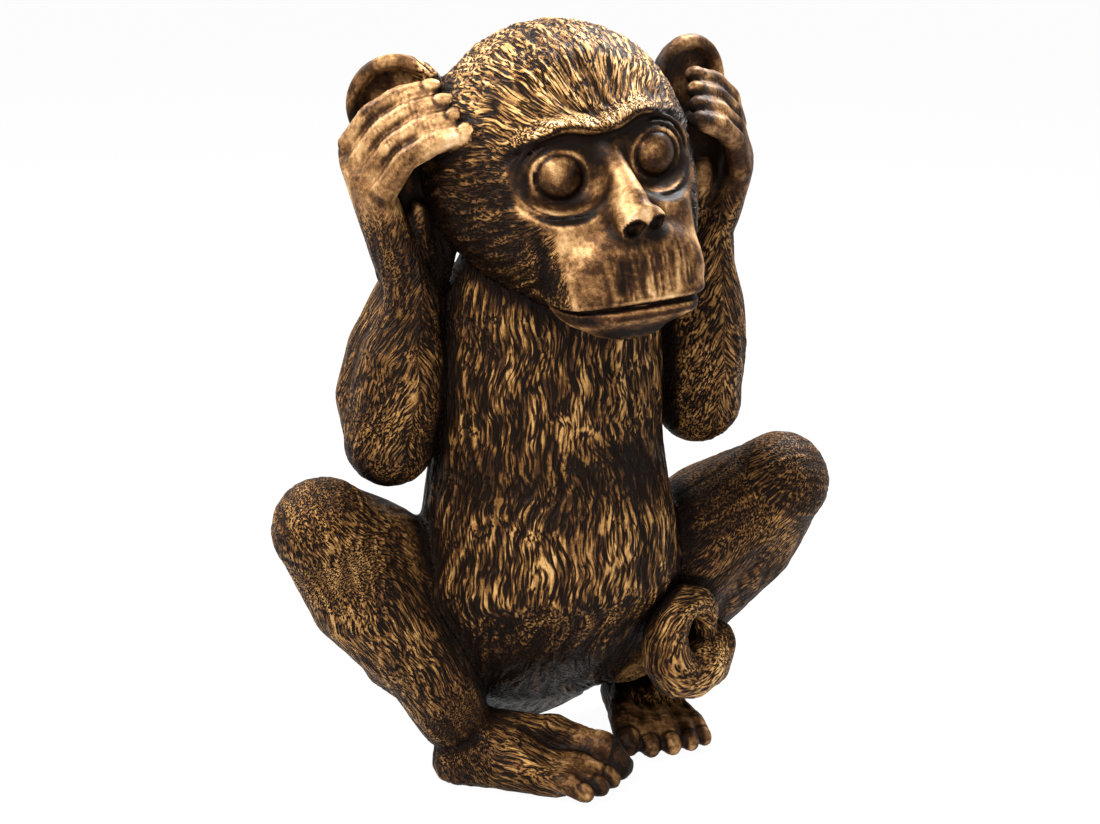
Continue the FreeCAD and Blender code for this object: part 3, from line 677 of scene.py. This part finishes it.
def strands(cuts, offset):
    """Noise averaged along the lie of the fur, evened out to about -1 to 1."""
    result = np.zeros(len(co), np.float32)
    for index, cut in enumerate(cuts):
        chosen = np.nonzero(owners == index)[0]
        start, normal = co[chosen], normals[chosen]
        cell, half_length = (value * MM for value in cut)
        total = value_noise(start + offset, cell, lattices[0])
        for way in (-1, 1):
            place = start.copy()
            for k in range(1, STEPS + 1):
                lie = fur_lie(place, index)
                lie -= normal * np.sum(lie * normal, axis=1, keepdims=True)
                place += unit(lie) * (way * half_length / STEPS)
                total += (1 - 0.75 * k / STEPS) * value_noise(place + offset, cell, lattices[0])
        result[chosen] = (total - total.mean()) / (2 * total.std())
    return np.clip(result, -1.2, 1.2)


# The slope sets how steep a strand's sides are, the shift how much wider its ridge is than its groove.
fine = np.tanh(2.2 * (strands(FINE_CUT, FINE_OFFSET) + 0.18))
locks = np.tanh(2.0 * (strands(LOCK_CUT, LOCK_OFFSET) + 0.25))


# Painted hairs
# Dry brushing catches hairs that are finer than the carving. Each vertex gets a place pushed together
# along the fur, so that noise laid on it comes out as hairs.

SQUEEZE = 0.09
# How many hairs there are to a strand on each casting.
HAIRS = np.array([1.5, 1.45, 2.0, 2.0, 2.0, 2.0, 1.9])


def squeezed(points, way):
    """Places pushed together along a direction."""
    direction = unit(way)
    return points - (points @ direction)[:, None] * direction * (1 - SQUEEZE)


def combed(points, index):
    """Places pushed together along the lie of the fur."""
    x, y, z = points.T
    if index == TORSO:
        return np.stack([x + torso_wave(points) * MM, y, z * SQUEEZE], axis=1)
    if index == HEAD:
        spoke = points - WHORL
        length = np.linalg.norm(spoke, axis=1, keepdims=True)
        return spoke / length * (80 * MM + SQUEEZE * length)
    if index == TAIL:
        rel, around = points - CURL_CENTRE, points - TAIL_BEND_CENTRE
        spin = np.hypot(rel[:, 0], rel[:, 2])
        curl = np.stack([spin + SQUEEZE * rel[:, 0], y + SQUEEZE * rel[:, 2], 0 * z], axis=1)
        bend = np.stack([np.hypot(around[:, 0], around[:, 1]), z + SQUEEZE * y, 0 * x], axis=1)
        share = on_tail_bend(y)
        return curl * (1 - share) + bend * share
    if index in ARMS:
        wrist, elbow, shoulder = ARM_JOINTS[index][2:]
        slant = np.sign(x - forearm_middle(z, elbow, wrist)) * 0.62
        lie = unit(np.stack([slant, 0 * x, 0 * x - 1], axis=1))
        forearm = points - np.sum(points * lie, axis=1, keepdims=True) * lie * (1 - SQUEEZE)
        upper = on_upper_arm(y, z, elbow)
        return forearm * (1 - upper) + squeezed(points, elbow - shoulder) * upper
    total, weights = np.zeros_like(points), 1e-9
    for start, end in zip(LEG_JOINTS[index], LEG_JOINTS[index][1:]):
        weight = np.exp(-nearest_share(points, start, end)[1] / (3 * MM))[:, None]
        total = total + weight * squeezed(points, end - start)
        weights = weights + weight
    return total / weights


fur_place = np.zeros((len(co), 3))
for index in range(len(CASTINGS)):
    chosen = owners == index
    wander = swirl(co[chosen], 7 * MM) * 2.2 * MM + swirl(co[chosen], 20 * MM) * 5 * MM
    fur_place[chosen] = combed(co[chosen] + wander, index) * HAIRS[index]


# Bare skin
# The master is smooth on the face, ears, hands and toes, with creases and fine pores in place of fur.

across, forward, up = head_frame(*co.T)
is_head = owners == HEAD
aside_of_face = np.abs(across - FACE_MIDDLE)
over_crest = up - brow_line(across)
half_face = 31.5 + 9.0 * rise(up, -20, -10) - 9.0 * rise(up, 6, 18)
from_edge = aside_of_face - half_face
bare_face = is_head * rise(forward, 22, 32) * (1 - rise(from_edge, -1.5, 2.0))
bare_face = bare_face * (1 - rise(over_crest, -2.5, 0.5)) * rise(up, -68, -64)
bare_ear, in_dish = np.zeros(len(co)), np.zeros(len(co))
for side in (-1, 1):
    spread, ahead = ear_frame(side, *co.T)
    on_ear = is_head * (1 - rise(spread, 23, 25)) * (1 - rise(np.abs(ahead), 8, 10))
    bare_ear = np.maximum(bare_ear, on_ear * rise(side * across, 46, 49))
    in_dish = np.maximum(in_dish, on_ear * (1 - rise(spread, 13.5, 15.5)) * rise(ahead, -3, -1))
bare = np.maximum(bare_face, bare_ear)
for index in ARMS:
    knuckle_height = ARM_JOINTS[index][1][2]
    hand = (owners == index) * rise(co[:, 2], knuckle_height - 30 * MM, knuckle_height - 8 * MM)
    bare = np.maximum(bare, hand)
for index in LEGS:
    ankle, toe_tips = LEG_JOINTS[index][2:] * [1, 1, 0]
    share = nearest_share(co, ankle, toe_tips)[0]
    bare = np.maximum(bare, (owners == index) * rise(share, 0.45, 0.75) * (co[:, 2] < 30 * MM))
fur = 1 - bare

pores = value_noise(co, 1.1 * MM, lattices[2]) - 0.5
wrinkles = value_noise(co * np.array([1.0, 1.0, 1 / 5]), 1.2 * MM, lattices[1]) - 0.5
lip_lines = value_noise(np.stack([across, up / 9, forward / 9], axis=1) * MM, 0.95 * MM, lattices[1]) - 0.5
upper_lip = bare_face * (1 - rise(np.abs(across - NOSE_ACROSS), 15, 24))
upper_lip = upper_lip * rise(up, -50, -47) * (1 - rise(up, -34, -24))


# Knuckles and nails
# Every finger and toe has wrinkles across its knuckles and a low nail with a groove round it.

# In shares of the digit's radius: places and width of the wrinkles, half sizes of the nail.
WRINKLE_PLACES, WRINKLE_WIDTH = (-0.34, 0.0, 0.34), 0.13
NAIL_HALF_WIDTH, NAIL_HALF_LENGTH, NAIL_AHEAD = 0.66, 0.80, 0.15
# Each one's relief in mm and its change of the gold, and the width of the nail's groove for both.
KNUCKLE, WRINKLE, NAIL, NAIL_GROOVE = np.array([(0.40, 0.08), (-0.60, -0.17), (0.18, -0.08), (-0.50, -0.35)])
GROOVE_WIDTHS = np.array([0.14, 0.16])
DIGIT_REACH = 26 * MM
digit_marks = np.zeros((len(co), 2))


def mark_digit(stations, radius, outside):
    """Adds one finger's or toe's wrinkles and nail to the marks."""
    near = np.nonzero(np.linalg.norm(co - stations.mean(axis=0), axis=1) < DIGIT_REACH)[0]
    last = len(stations) - 1
    for k in range(1, len(stations)):
        direction = unit(stations[min(k + 1, last)] - stations[k - 1])
        top_way = unit(outside - direction * (outside @ direction))
        rel = (co[near, None] - stations[k]) / radius
        along, top, aside = rel @ direction, rel @ top_way, rel @ np.cross(direction, top_way)
        on_top = rise(top, 0.15, 0.6) * (1 - rise(np.abs(aside), 0.9, 1.2))
        if k < last:
            lines = sum(bell(along - place, WRINKLE_WIDTH) for place in WRINKLE_PLACES)
            digit_marks[near] += on_top * bell(along, 0.75) * (KNUCKLE + WRINKLE * lines)
        else:
            edge = ((aside / NAIL_HALF_WIDTH) ** 4 + ((along - NAIL_AHEAD) / NAIL_HALF_LENGTH) ** 4) ** 0.25
            plate, groove = 1 - rise(edge, 0.75, 1.0), bell(edge - 1.15, GROOVE_WIDTHS)
            digit_marks[near] += on_top * (NAIL * plate + NAIL_GROOVE * groove)


# Run along the toe and height of its middle line, as shares of its length and radius.
TOE_STATIONS = ((0.0, 1.65), (0.5, 1.7), (1.0, 0.9))
for index in LEGS:
    for outward_share, turn, length_share, radius_share in TOES_OF_A_FOOT:
        radius, length, turn = TOE_RADIUS * radius_share, TOE_LENGTH * length_share, math.radians(turn)
        stations = [
            foot_place(
                index,
                TOE_ROOT_SHARE * FOOT_LENGTH[index] + run * length * math.cos(turn),
                outward_share * FOOT_HALF_WIDTH + run * length * math.sin(turn),
                PAD_THICKNESS + radius * height,
            )
            for run, height in TOE_STATIONS
        ]
        mark_digit(np.array(stations), radius, np.array([0, 0, 1.0]))

FINGER_RADIUS, FINGER_PITCH, FINGER_ARCH = mm(5.1, 9.8, 4.5)
STACK_SLOPE = math.radians(32)
# Run from knuckle to tip, and share of the arch.
FINGER_STATIONS = ((0, 0), (0.4, 1), (0.7, 0.8), (1, 0))
for index, side in ((RIGHT_ARM, -1), (LEFT_ARM, 1)):
    fore, drop = math.cos(STACK_SLOPE), math.sin(STACK_SLOPE)
    stack = unit(np.array([-side * drop / 2, -fore, -drop]))
    outside = np.array([side, 0, 1.0])
    tip, knuckle = ARM_JOINTS[index][:2]
    bent = [knuckle + (tip - knuckle) * run + outside * FINGER_ARCH * arch for run, arch in FINGER_STATIONS]
    for place in (-1.5, -0.5, 0.5, 1.5):
        mark_digit(np.array(bent) + stack * FINGER_PITCH * place, FINGER_RADIUS, outside)


# Relief of fur and skin
# Fur, wrinkles, pores and lip lines stand up from the skin. The eyeballs stay smooth.

# How deep the strands are cut on each casting.
FUR_DEPTH = np.array([1.05, 0.9, 0.55, 0.55, 0.55, 0.55, 0.65])
FINE_RELIEF, LOCK_RELIEF, PORE_RELIEF, WRINKLED_RELIEF, LIP_RELIEF = 0.42, 0.26, 0.14, 0.10, 0.5
# The way that each eyeball's painted highlight faces, roughly towards the key lamp.
EYE_HIGHLIGHT_WAY = np.array([-0.45, -0.55, 0.70])
depth = FUR_DEPTH[owners]
digit_relief, digit_gold = digit_marks.T
height = digit_relief + fur * depth * (FINE_RELIEF * fine + LOCK_RELIEF * locks)
height += bare * (PORE_RELIEF * pores + WRINKLED_RELIEF * wrinkles) + LIP_RELIEF * upper_lip * lip_lines
eye_ball, eye_highlight_facing = np.zeros(len(co)), np.zeros(len(co))
for side in (-1, 1):
    eye = head_place(FACE_MIDDLE + side * EYE_SPACING / 2, EYE_FORWARD, EYE_UP)
    on_ball = np.linalg.norm(co - eye, axis=1) < (EYE_RADIUS + 0.35) * MM
    eye_ball = np.maximum(eye_ball, on_ball)
    eye_highlight_facing = np.maximum(eye_highlight_facing, on_ball * (unit(co - eye) @ EYE_HIGHLIGHT_WAY))
height *= 1 - eye_ball

# Hollows and crests that the paint follows are felt out at three distances from the skin. The darkening in
# the hollows is partly the undercoat that the real finish leaves in them, and partly painted shade.
hollow, crest = np.zeros(len(co)), np.zeros(len(co))
for reach, share in ((1.3 * MM, 0.35), (2.6 * MM, 0.35), (5.5 * MM, 0.30)):
    hollow += share * np.clip(1 - smooth_values(skin, co + normals * reach) / reach, 0, 1)
    crest += share * np.clip(1 + smooth_values(skin, co - normals * reach) / reach, 0, 1)
co = np.clip(co + normals * (height * MM)[:, None], np.array(cad_box[0]), np.array(cad_box[1]))


# Where the gold is rubbed on, and where light and shade are painted
# Gold is brushed on by hand: most on nose, muzzle, brow, belly, fingers and crown, least in the folds.
# Light and shade are painted in too: light from above on the crown, shade on the head's lower sides,
# under the brow, in the cupped palms and on the face's side away from the key lamp, and a highlight
# on each eyeball.

x, y, z = co.T
on = [owners == index for index in range(len(CASTINGS))]
front = on[TORSO] * (1 - rise(y, -0.100, -0.070))
head_fur = is_head * fur
cheek_fur = head_fur * rise(forward, 26, 40) * rise(-up, 6, 14) * rise(up, -66, -58) * (across < 0)
brow_front = is_head * rise(forward, 30, 40)
other_hand_and_feet = np.isin(owners, (LEFT_ARM, RIGHT_LEG, LEFT_LEG))
# Each row: how much gold, painted light or painted shade is put on or taken off, and where.
gold_and_painted_light = [
    (0.14, value_noise(co, 24 * MM, lattices[2]) - 0.5),
    # torso: less than elsewhere, more on the belly, less under it and at the waist
    (-0.155, on[TORSO]),
    (0.05, front),
    (0.14, front * bell(z - 0.105, 0.026)),
    (-0.16, front * (1 - rise(z, 0.045, 0.080))),
    (-0.12, front * bell(z - 0.146, 0.012)),
    # head: more gold on the crown, also as painted light from above, painted shade on the lower sides, gold
    # on the cheeks, and the brow's crest over its groove, which is darkened with painted shade
    (-0.14, head_fur),
    (0.17, head_fur * rise(up, 8, 28)),
    (-0.12, head_fur * rise(np.abs(across), 30, 40) * (1 - rise(up, 0, 14))),
    (0.12, cheek_fur * bell(from_edge - 4, 7)),
    (-0.34, brow_front * bell(over_crest + 4.4, 3.6) * (1 - rise(aside_of_face, 34, 44))),
    (0.05, brow_front * bell(over_crest - 1.0, 2.4)),
    # face: nose tip, painted shade on the side away from the key lamp, the cheek by the nose, chin and upper
    # lip
    (0.13, bare_face),
    (0.12, bare_face * bell(np.hypot(across - NOSE_ACROSS, up + 14), 5)),
    (-0.10, bare_face * rise(across, 6, 20)),
    (0.03, bare_face * bell(np.hypot(across + 16, up + 28), 13)),
    (-0.13, bare_face * (1 - rise(up - mouth_line(across), -3.5, -0.5))),
    (-0.08, upper_lip),
    # ears, hands and feet
    (-0.08, bare_ear),
    (-0.20, in_dish),
    (0.16, bare * on[RIGHT_ARM]),
    (0.05, bare * other_hand_and_feet),
    (-0.09, fur * on[RIGHT_ARM]),
    (-0.02, fur * on[LEFT_ARM]),
    (0.08, on[RIGHT_LEG] * rise(z, 0.050, 0.080)),
    (0.12, on[LEFT_LEG] * (1 - rise(z, 0.030, 0.045))),
    # patches on bare skin, and the eyeballs, with a painted highlight on the side of each that faces the key
    # lamp
    (0.02, bare),
    (0.40, bare * (value_noise(co, 7 * MM, lattices[1]) - 0.5)),
    (-0.20, eye_ball),
    (0.15, eye_ball * rise(eye_highlight_facing, 0.45, 0.95)),
]
for side in (-1, 1):
    aside, ahead, above = eye_frame(side, across, forward, up)
    opening = np.hypot(aside / EYE_WIDENING, above)
    gold_and_painted_light.append((0.20, bare_face * bell(opening - 10.3, 1.0)))
    gold_and_painted_light.append((-0.22, bare_face * (1 - rise(opening, 15, 19)) * rise(opening, 8, 9)))
    gold_and_painted_light.append((-0.45, is_head * (1 - rise(nostril(side, across, forward, up), 0.2, 0.9))))
# painted shade inside each cupped palm, on the solid that fills it
for index, (centre, radii) in PALMS.items():
    gold_and_painted_light.append((-0.30, on[index] * (ellipsoid(x, y, z, centre, radii) < 1.2 * MM)))
gold_with_painted_light = 0.04 + sum(amount * where for amount, where in gold_and_painted_light)

EVEN_BRUSH, FINE_BRUSH, LOCK_BRUSH, PORE_BRUSH, LIP_BRUSH = 0.42, 0.17, 0.09, 0.20, 0.5
CREST_BRUSH, HOLLOW_WASH_AND_SHADE = 0.50, -1.45
brush_with_painted_light = EVEN_BRUSH + gold_with_painted_light + digit_gold + fur * depth * (FINE_BRUSH * fine + LOCK_BRUSH * locks)
brush_with_painted_light += bare * (0.03 + PORE_BRUSH * pores) + LIP_BRUSH * upper_lip * lip_lines
# hollows darkened: partly the real undercoat, partly painted shade
brush_with_painted_light += CREST_BRUSH * crest + HOLLOW_WASH_AND_SHADE * hollow
gloss = np.maximum(rise(gold_with_painted_light, 0.0, -0.25) * fur, eye_ball)
carving_colour = np.stack([brush_with_painted_light, bare, gloss, np.ones(len(co))], axis=1).clip(0, 1).astype(np.float32)


# Antique bronze paint
# A near-black brown undercoat stays in the grooves and gold is dry-brushed on the ridges. Per vertex,
# "carving" carries brushed gold with painted light and shade, bare skin and gloss, and "fur_place" the
# places of the painted hairs.


class Nodes:
    """The nodes of a material or of the world, with short ways to add and link them."""

    def __init__(self, owner):
        owner.use_nodes = True
        self.owner = owner
        self.tree = owner.node_tree
        self.shader = self.tree.nodes.get("Principled BSDF") or self.tree.nodes["Background"]

    def add(self, kind, inputs=None, **settings):
        node = self.tree.nodes.new(kind)
        for key, value in settings.items():
            setattr(node, key, value)
        for key, value in (inputs or {}).items():
            self.put(node.inputs[key], value)
        return node

    def put(self, socket, value):
        if isinstance(value, bpy.types.NodeSocket):
            self.tree.links.new(value, socket)
        else:
            socket.default_value = value

    def set(self, name, value):
        self.put(self.shader.inputs[name], value)

    def ramp(self, factor, stops):
        node = self.add("ShaderNodeValToRGB", {"Fac": factor})
        ramp = node.color_ramp
        while len(ramp.elements) < len(stops):
            ramp.elements.new(0.5)
        for element, (place, colour) in zip(ramp.elements, stops):
            element.position = place
            element.color = (*colour, 1)
        return node.outputs["Color"]

    def maths(self, operation, a, b=0.0, clamp=False):
        return self.add("ShaderNodeMath", {0: a, 1: b}, operation=operation, use_clamp=clamp).outputs[0]

    def scaled(self, value, amount, base):
        return self.maths("ADD", self.maths("MULTIPLY", value, amount), base)

    def mix(self, factor, a, b):
        inputs = {"Factor": factor, "A": a, "B": b}
        return self.add("ShaderNodeMix", inputs, data_type="RGBA").outputs["Result"]

    def noise(self, scale, detail, vector=None, roughness=0.5):
        node = self.add("ShaderNodeTexNoise", {"Scale": scale, "Detail": detail, "Roughness": roughness})
        self.put(node.inputs["Vector"], vector or self.add("ShaderNodeTexCoord").outputs["Object"])
        return node.outputs["Fac"]

    def attribute(self, name):
        return self.add("ShaderNodeAttribute", attribute_name=name, attribute_type="GEOMETRY").outputs

    def bump(self, height, strength, distance):
        return self.add("ShaderNodeBump", {"Height": height, "Strength": strength, "Distance": distance})


UNDERCOAT = (0.0060, 0.0028, 0.0014)
BROWN = (0.038, 0.0165, 0.0060)
BRONZE, GOLD, PALE_GOLD = (0.155, 0.072, 0.020), (0.43, 0.248, 0.088), (0.72, 0.52, 0.34)
# On bare skin part of the gold is replaced by a warmer, paler one.
WARM_BRONZE, WARM_GOLD, WARM_PALE_GOLD = (0.165, 0.085, 0.045), (0.43, 0.265, 0.155), (0.74, 0.56, 0.44)
WARM_SHARE = 0.3
STOPS = (0.24, 0.45, 0.60, 0.79, 1.0)
HAIR_SCALE, HAIR_FROM, HAIR_TO, HAIR_MIDDLE, HAIR_BRUSH = 620, 0.36, 0.56, 0.72, 0.56

bronze = Nodes(bpy.data.materials.new("antique_bronze"))
brush_and_light_value, bare_value, gloss_value = bronze.add(
    "ShaderNodeSeparateColor", {"Color": bronze.attribute("carving")["Color"]}
).outputs
patches = bronze.noise(45, 3.0)
specks = bronze.noise(1700, 2.0)
mottle = bronze.noise(520, 4.0, roughness=0.7)
hair_noise = bronze.noise(HAIR_SCALE, 1.5, vector=bronze.attribute("fur_place")["Vector"])
hair_range = {"Value": hair_noise, "From Min": HAIR_FROM, "From Max": HAIR_TO}
hairs = bronze.add("ShaderNodeMapRange", hair_range, clamp=True).outputs[0]
furred = bronze.maths("SUBTRACT", 1.0, bare_value)
hair_share = bronze.maths("MULTIPLY", bronze.maths("SUBTRACT", hairs, HAIR_MIDDLE), furred)
brushed_with_painted_light = bronze.maths("ADD", brush_and_light_value, bronze.maths("MULTIPLY", hair_share, HAIR_BRUSH))
for uneven, amount in ((patches, 0.22), (mottle, 0.34), (specks, 0.20)):
    unevenness = bronze.maths("MULTIPLY", bronze.maths("SUBTRACT", uneven, 0.5), amount)
    brushed_with_painted_light = bronze.maths("ADD", brushed_with_painted_light, unevenness)
fur_paint = bronze.ramp(brushed_with_painted_light, list(zip(STOPS, (UNDERCOAT, BROWN, BRONZE, GOLD, PALE_GOLD))))
warm_colours = (UNDERCOAT, BROWN, WARM_BRONZE, WARM_GOLD, WARM_PALE_GOLD)
skin_paint = bronze.ramp(brushed_with_painted_light, list(zip(STOPS, warm_colours)))
paint = bronze.mix(bronze.maths("MULTIPLY", bare_value, WARM_SHARE), fur_paint, skin_paint)
bronze.set("Base Color", paint)
grainy, glossy = bronze.maths("MULTIPLY", specks, 0.16), bronze.maths("MULTIPLY", gloss_value, 0.20)
roughness = bronze.maths("ADD", bronze.maths("SUBTRACT", grainy, glossy), 0.42)
bronze.set("Roughness", roughness)
bronze.set("Metallic", bronze.maths("MULTIPLY", brushed_with_painted_light, 0.40, clamp=True))
bronze.set("Specular IOR Level", 0.06)
grain_height = bronze.maths("ADD", *(bronze.maths("MULTIPLY", part, 0.5) for part in (mottle, specks)))
grain = bronze.bump(grain_height, strength=0.4, distance=0.4 * MM)
hair_bump = bronze.bump(hair_share, strength=0.9, distance=0.6 * MM)
bronze.put(hair_bump.inputs["Normal"], grain.outputs["Normal"])
bronze.set("Normal", hair_bump.outputs["Normal"])


# The seven castings
# Each one is the part of the skin that lies on its own solid, closed where it is bonded to the next.

quad_owner = field_values(owner, co[quads].mean(axis=1) - normals[quads[:, 0]] * VOXEL)


def add_object(name, data):
    """A new object, linked into the scene."""
    item = bpy.data.objects.new(name, data)
    bpy.context.scene.collection.objects.link(item)
    return item


for index, node in enumerate(CASTINGS):
    faces = quads[quad_owner == index]
    used, local = np.unique(faces, return_inverse=True)
    mesh = bpy.data.meshes.new(node)
    mesh.from_pydata(co[used].tolist(), [], local.reshape(-1, 4).tolist())
    colour = mesh.attributes.new("carving", "FLOAT_COLOR", "POINT")
    colour.data.foreach_set("color", carving_colour[used].ravel())
    hair_place = mesh.attributes.new("fur_place", "FLOAT_VECTOR", "POINT")
    hair_place.data.foreach_set("vector", fur_place[used].astype(np.float32).ravel())
    sculpt = bmesh.new()
    sculpt.from_mesh(mesh)
    rims = [edge for edge in sculpt.edges if edge.is_boundary]
    bmesh.ops.holes_fill(sculpt, edges=rims, sides=0)
    bmesh.ops.triangulate(sculpt, faces=[f for f in sculpt.faces if len(f.verts) > 4])
    sculpt.to_mesh(mesh)
    sculpt.free()
    mesh.polygons.foreach_set("use_smooth", [True] * len(mesh.polygons))
    mesh.materials.append(bronze.owner)
    mesh.validate()
    piece = add_object(f"{node}_sculpt", mesh)
    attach(piece, "root")
    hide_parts(node)


# Felt pads
# Black self-adhesive felt is stuck under the rump and both soles.


def paint_nodes(nodes, paint):
    """Gives the CAD's own meshes of these nodes a material."""
    for node in nodes:
        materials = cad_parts[node].data.materials
        materials.clear()
        materials.append(paint.owner)


felt = Nodes(bpy.data.materials.new("black_felt"))
fibres = felt.noise(2600, 4.0, roughness=0.7)
felt_colours = [(0.3, (0.006, 0.006, 0.007)), (0.8, (0.035, 0.034, 0.036))]
felt.set("Base Color", felt.ramp(fibres, felt_colours))
felt.set("Roughness", 0.95)
felt.set("Sheen Weight", 0.4)
nap = felt.bump(fibres, strength=0.8, distance=0.5 * MM)
felt.set("Normal", nap.outputs["Normal"])
paint_nodes(("seat_pad", "right_foot_pad", "left_foot_pad"), felt)


# Pins and plug
# Pins cut from steel wire key the limbs and the tail; a black plastic plug closes the pour hole.

steel = Nodes(bpy.data.materials.new("cut_wire"))
drawn = steel.noise(900, 3.0)
steel_colours = [(0.2, (0.28, 0.28, 0.29)), (0.9, (0.5, 0.5, 0.5))]
steel.set("Base Color", steel.ramp(drawn, steel_colours))
steel.set("Metallic", 1.0)
steel.set("Roughness", steel.scaled(drawn, 0.3, 0.2))
paint_nodes(PINS, steel)

plug = Nodes(bpy.data.materials.new("plug_plastic"))
moulded = plug.noise(700, 3.0)
plug_colours = [(0.2, (0.02, 0.02, 0.02)), (0.9, (0.06, 0.06, 0.06))]
plug.set("Base Color", plug.ramp(moulded, plug_colours))
plug.set("Roughness", plug.scaled(moulded, 0.2, 0.45))
paint_nodes(("base_plug",), plug)


# Floor
# The figurine stands on a plain white sweep that shows its shadow.

FLOOR_RADIUS, FLOOR_SIDES = 6.0, 64
# Seen straight, the floor is mostly as white as the background; the rest of it takes the shadow.
FLOOR_GLOW_SHARE = 0.97


def background_share(nodes):
    """1 for the rays that show the background as it is: seen straight, in gloss or through glass."""
    rays = nodes.add("ShaderNodeLightPath").outputs
    seen = nodes.maths("MAXIMUM", rays["Is Camera Ray"], rays["Is Glossy Ray"])
    return nodes.maths("MAXIMUM", seen, rays["Is Transmission Ray"])


rim_angles = [2 * math.pi * k / FLOOR_SIDES for k in range(FLOOR_SIDES)]
floor_points = [(FLOOR_RADIUS * math.cos(a), FLOOR_RADIUS * math.sin(a), 0) for a in rim_angles]
floor_mesh = bpy.data.meshes.new("floor")
floor_mesh.from_pydata(floor_points, [], [list(range(FLOOR_SIDES))])
white = Nodes(bpy.data.materials.new("white_floor"))
white.set("Base Color", (0.9, 0.9, 0.9, 1))
white.set("Roughness", 0.8)
glow = white.add("ShaderNodeEmission", {"Color": (1, 1, 1, 1), "Strength": 1.0}).outputs[0]
seen_share = white.maths("MULTIPLY", background_share(white), FLOOR_GLOW_SHARE)
surface = white.add("ShaderNodeMixShader", {0: seen_share, 1: white.shader.outputs[0], 2: glow}).outputs[0]
white.put(white.tree.nodes["Material Output"].inputs["Surface"], surface)
floor_mesh.materials.append(white.owner)
floor = add_object("floor", floor_mesh)


# Camera and light
# The figurine is seen from its own right and a little above, in soft studio light.

AIM = Vector((0.0, -0.074, 0.165))
STUDIO_LIGHT = 0.2


def place_facing(name, data, azimuth, elevation, distance):
    """Puts a camera or a lamp round from the front and up by those degrees, facing the figure."""
    a, e = math.radians(azimuth), math.radians(elevation)
    away = Vector((math.sin(a) * math.cos(e), -math.cos(a) * math.cos(e), math.sin(e)))
    item = add_object(name, data)
    item.location = AIM + away * distance
    item.rotation_euler = (-away).to_track_quat("-Z", "Y").to_euler()
    return item


def soft_box(name, azimuth, elevation, distance, size, power):
    """A square studio lamp that faces the figure."""
    data = bpy.data.lights.new(name, "AREA")
    data.size, data.energy = size, power
    place_facing(name, data, azimuth, elevation, distance)


camera_data = bpy.data.cameras.new("camera")
camera_data.sensor_width, camera_data.lens = 36.0, 83.9
camera_data.clip_start, camera_data.clip_end = 0.01, 20
bpy.context.scene.camera = place_facing("camera", camera_data, azimuth=-20, elevation=15, distance=1.1)

soft_box("key", -52, 50, 1.3, 0.55, 32)
soft_box("fill", 30, 15, 1.5, 0.8, 3)
soft_box("rim_left", -140, 45, 1.3, 0.5, 24)
soft_box("rim_right", 120, 50, 1.2, 0.45, 45)

studio = Nodes(bpy.data.worlds.new("studio"))
light_range = {"Value": background_share(studio), "To Min": STUDIO_LIGHT, "To Max": 1.0}
studio.set("Color", (1, 1, 1, 1))
studio.set("Strength", studio.add("ShaderNodeMapRange", light_range).outputs["Result"])
bpy.context.scene.world = studio.owner
bpy.context.scene.view_settings.view_transform = "Standard"
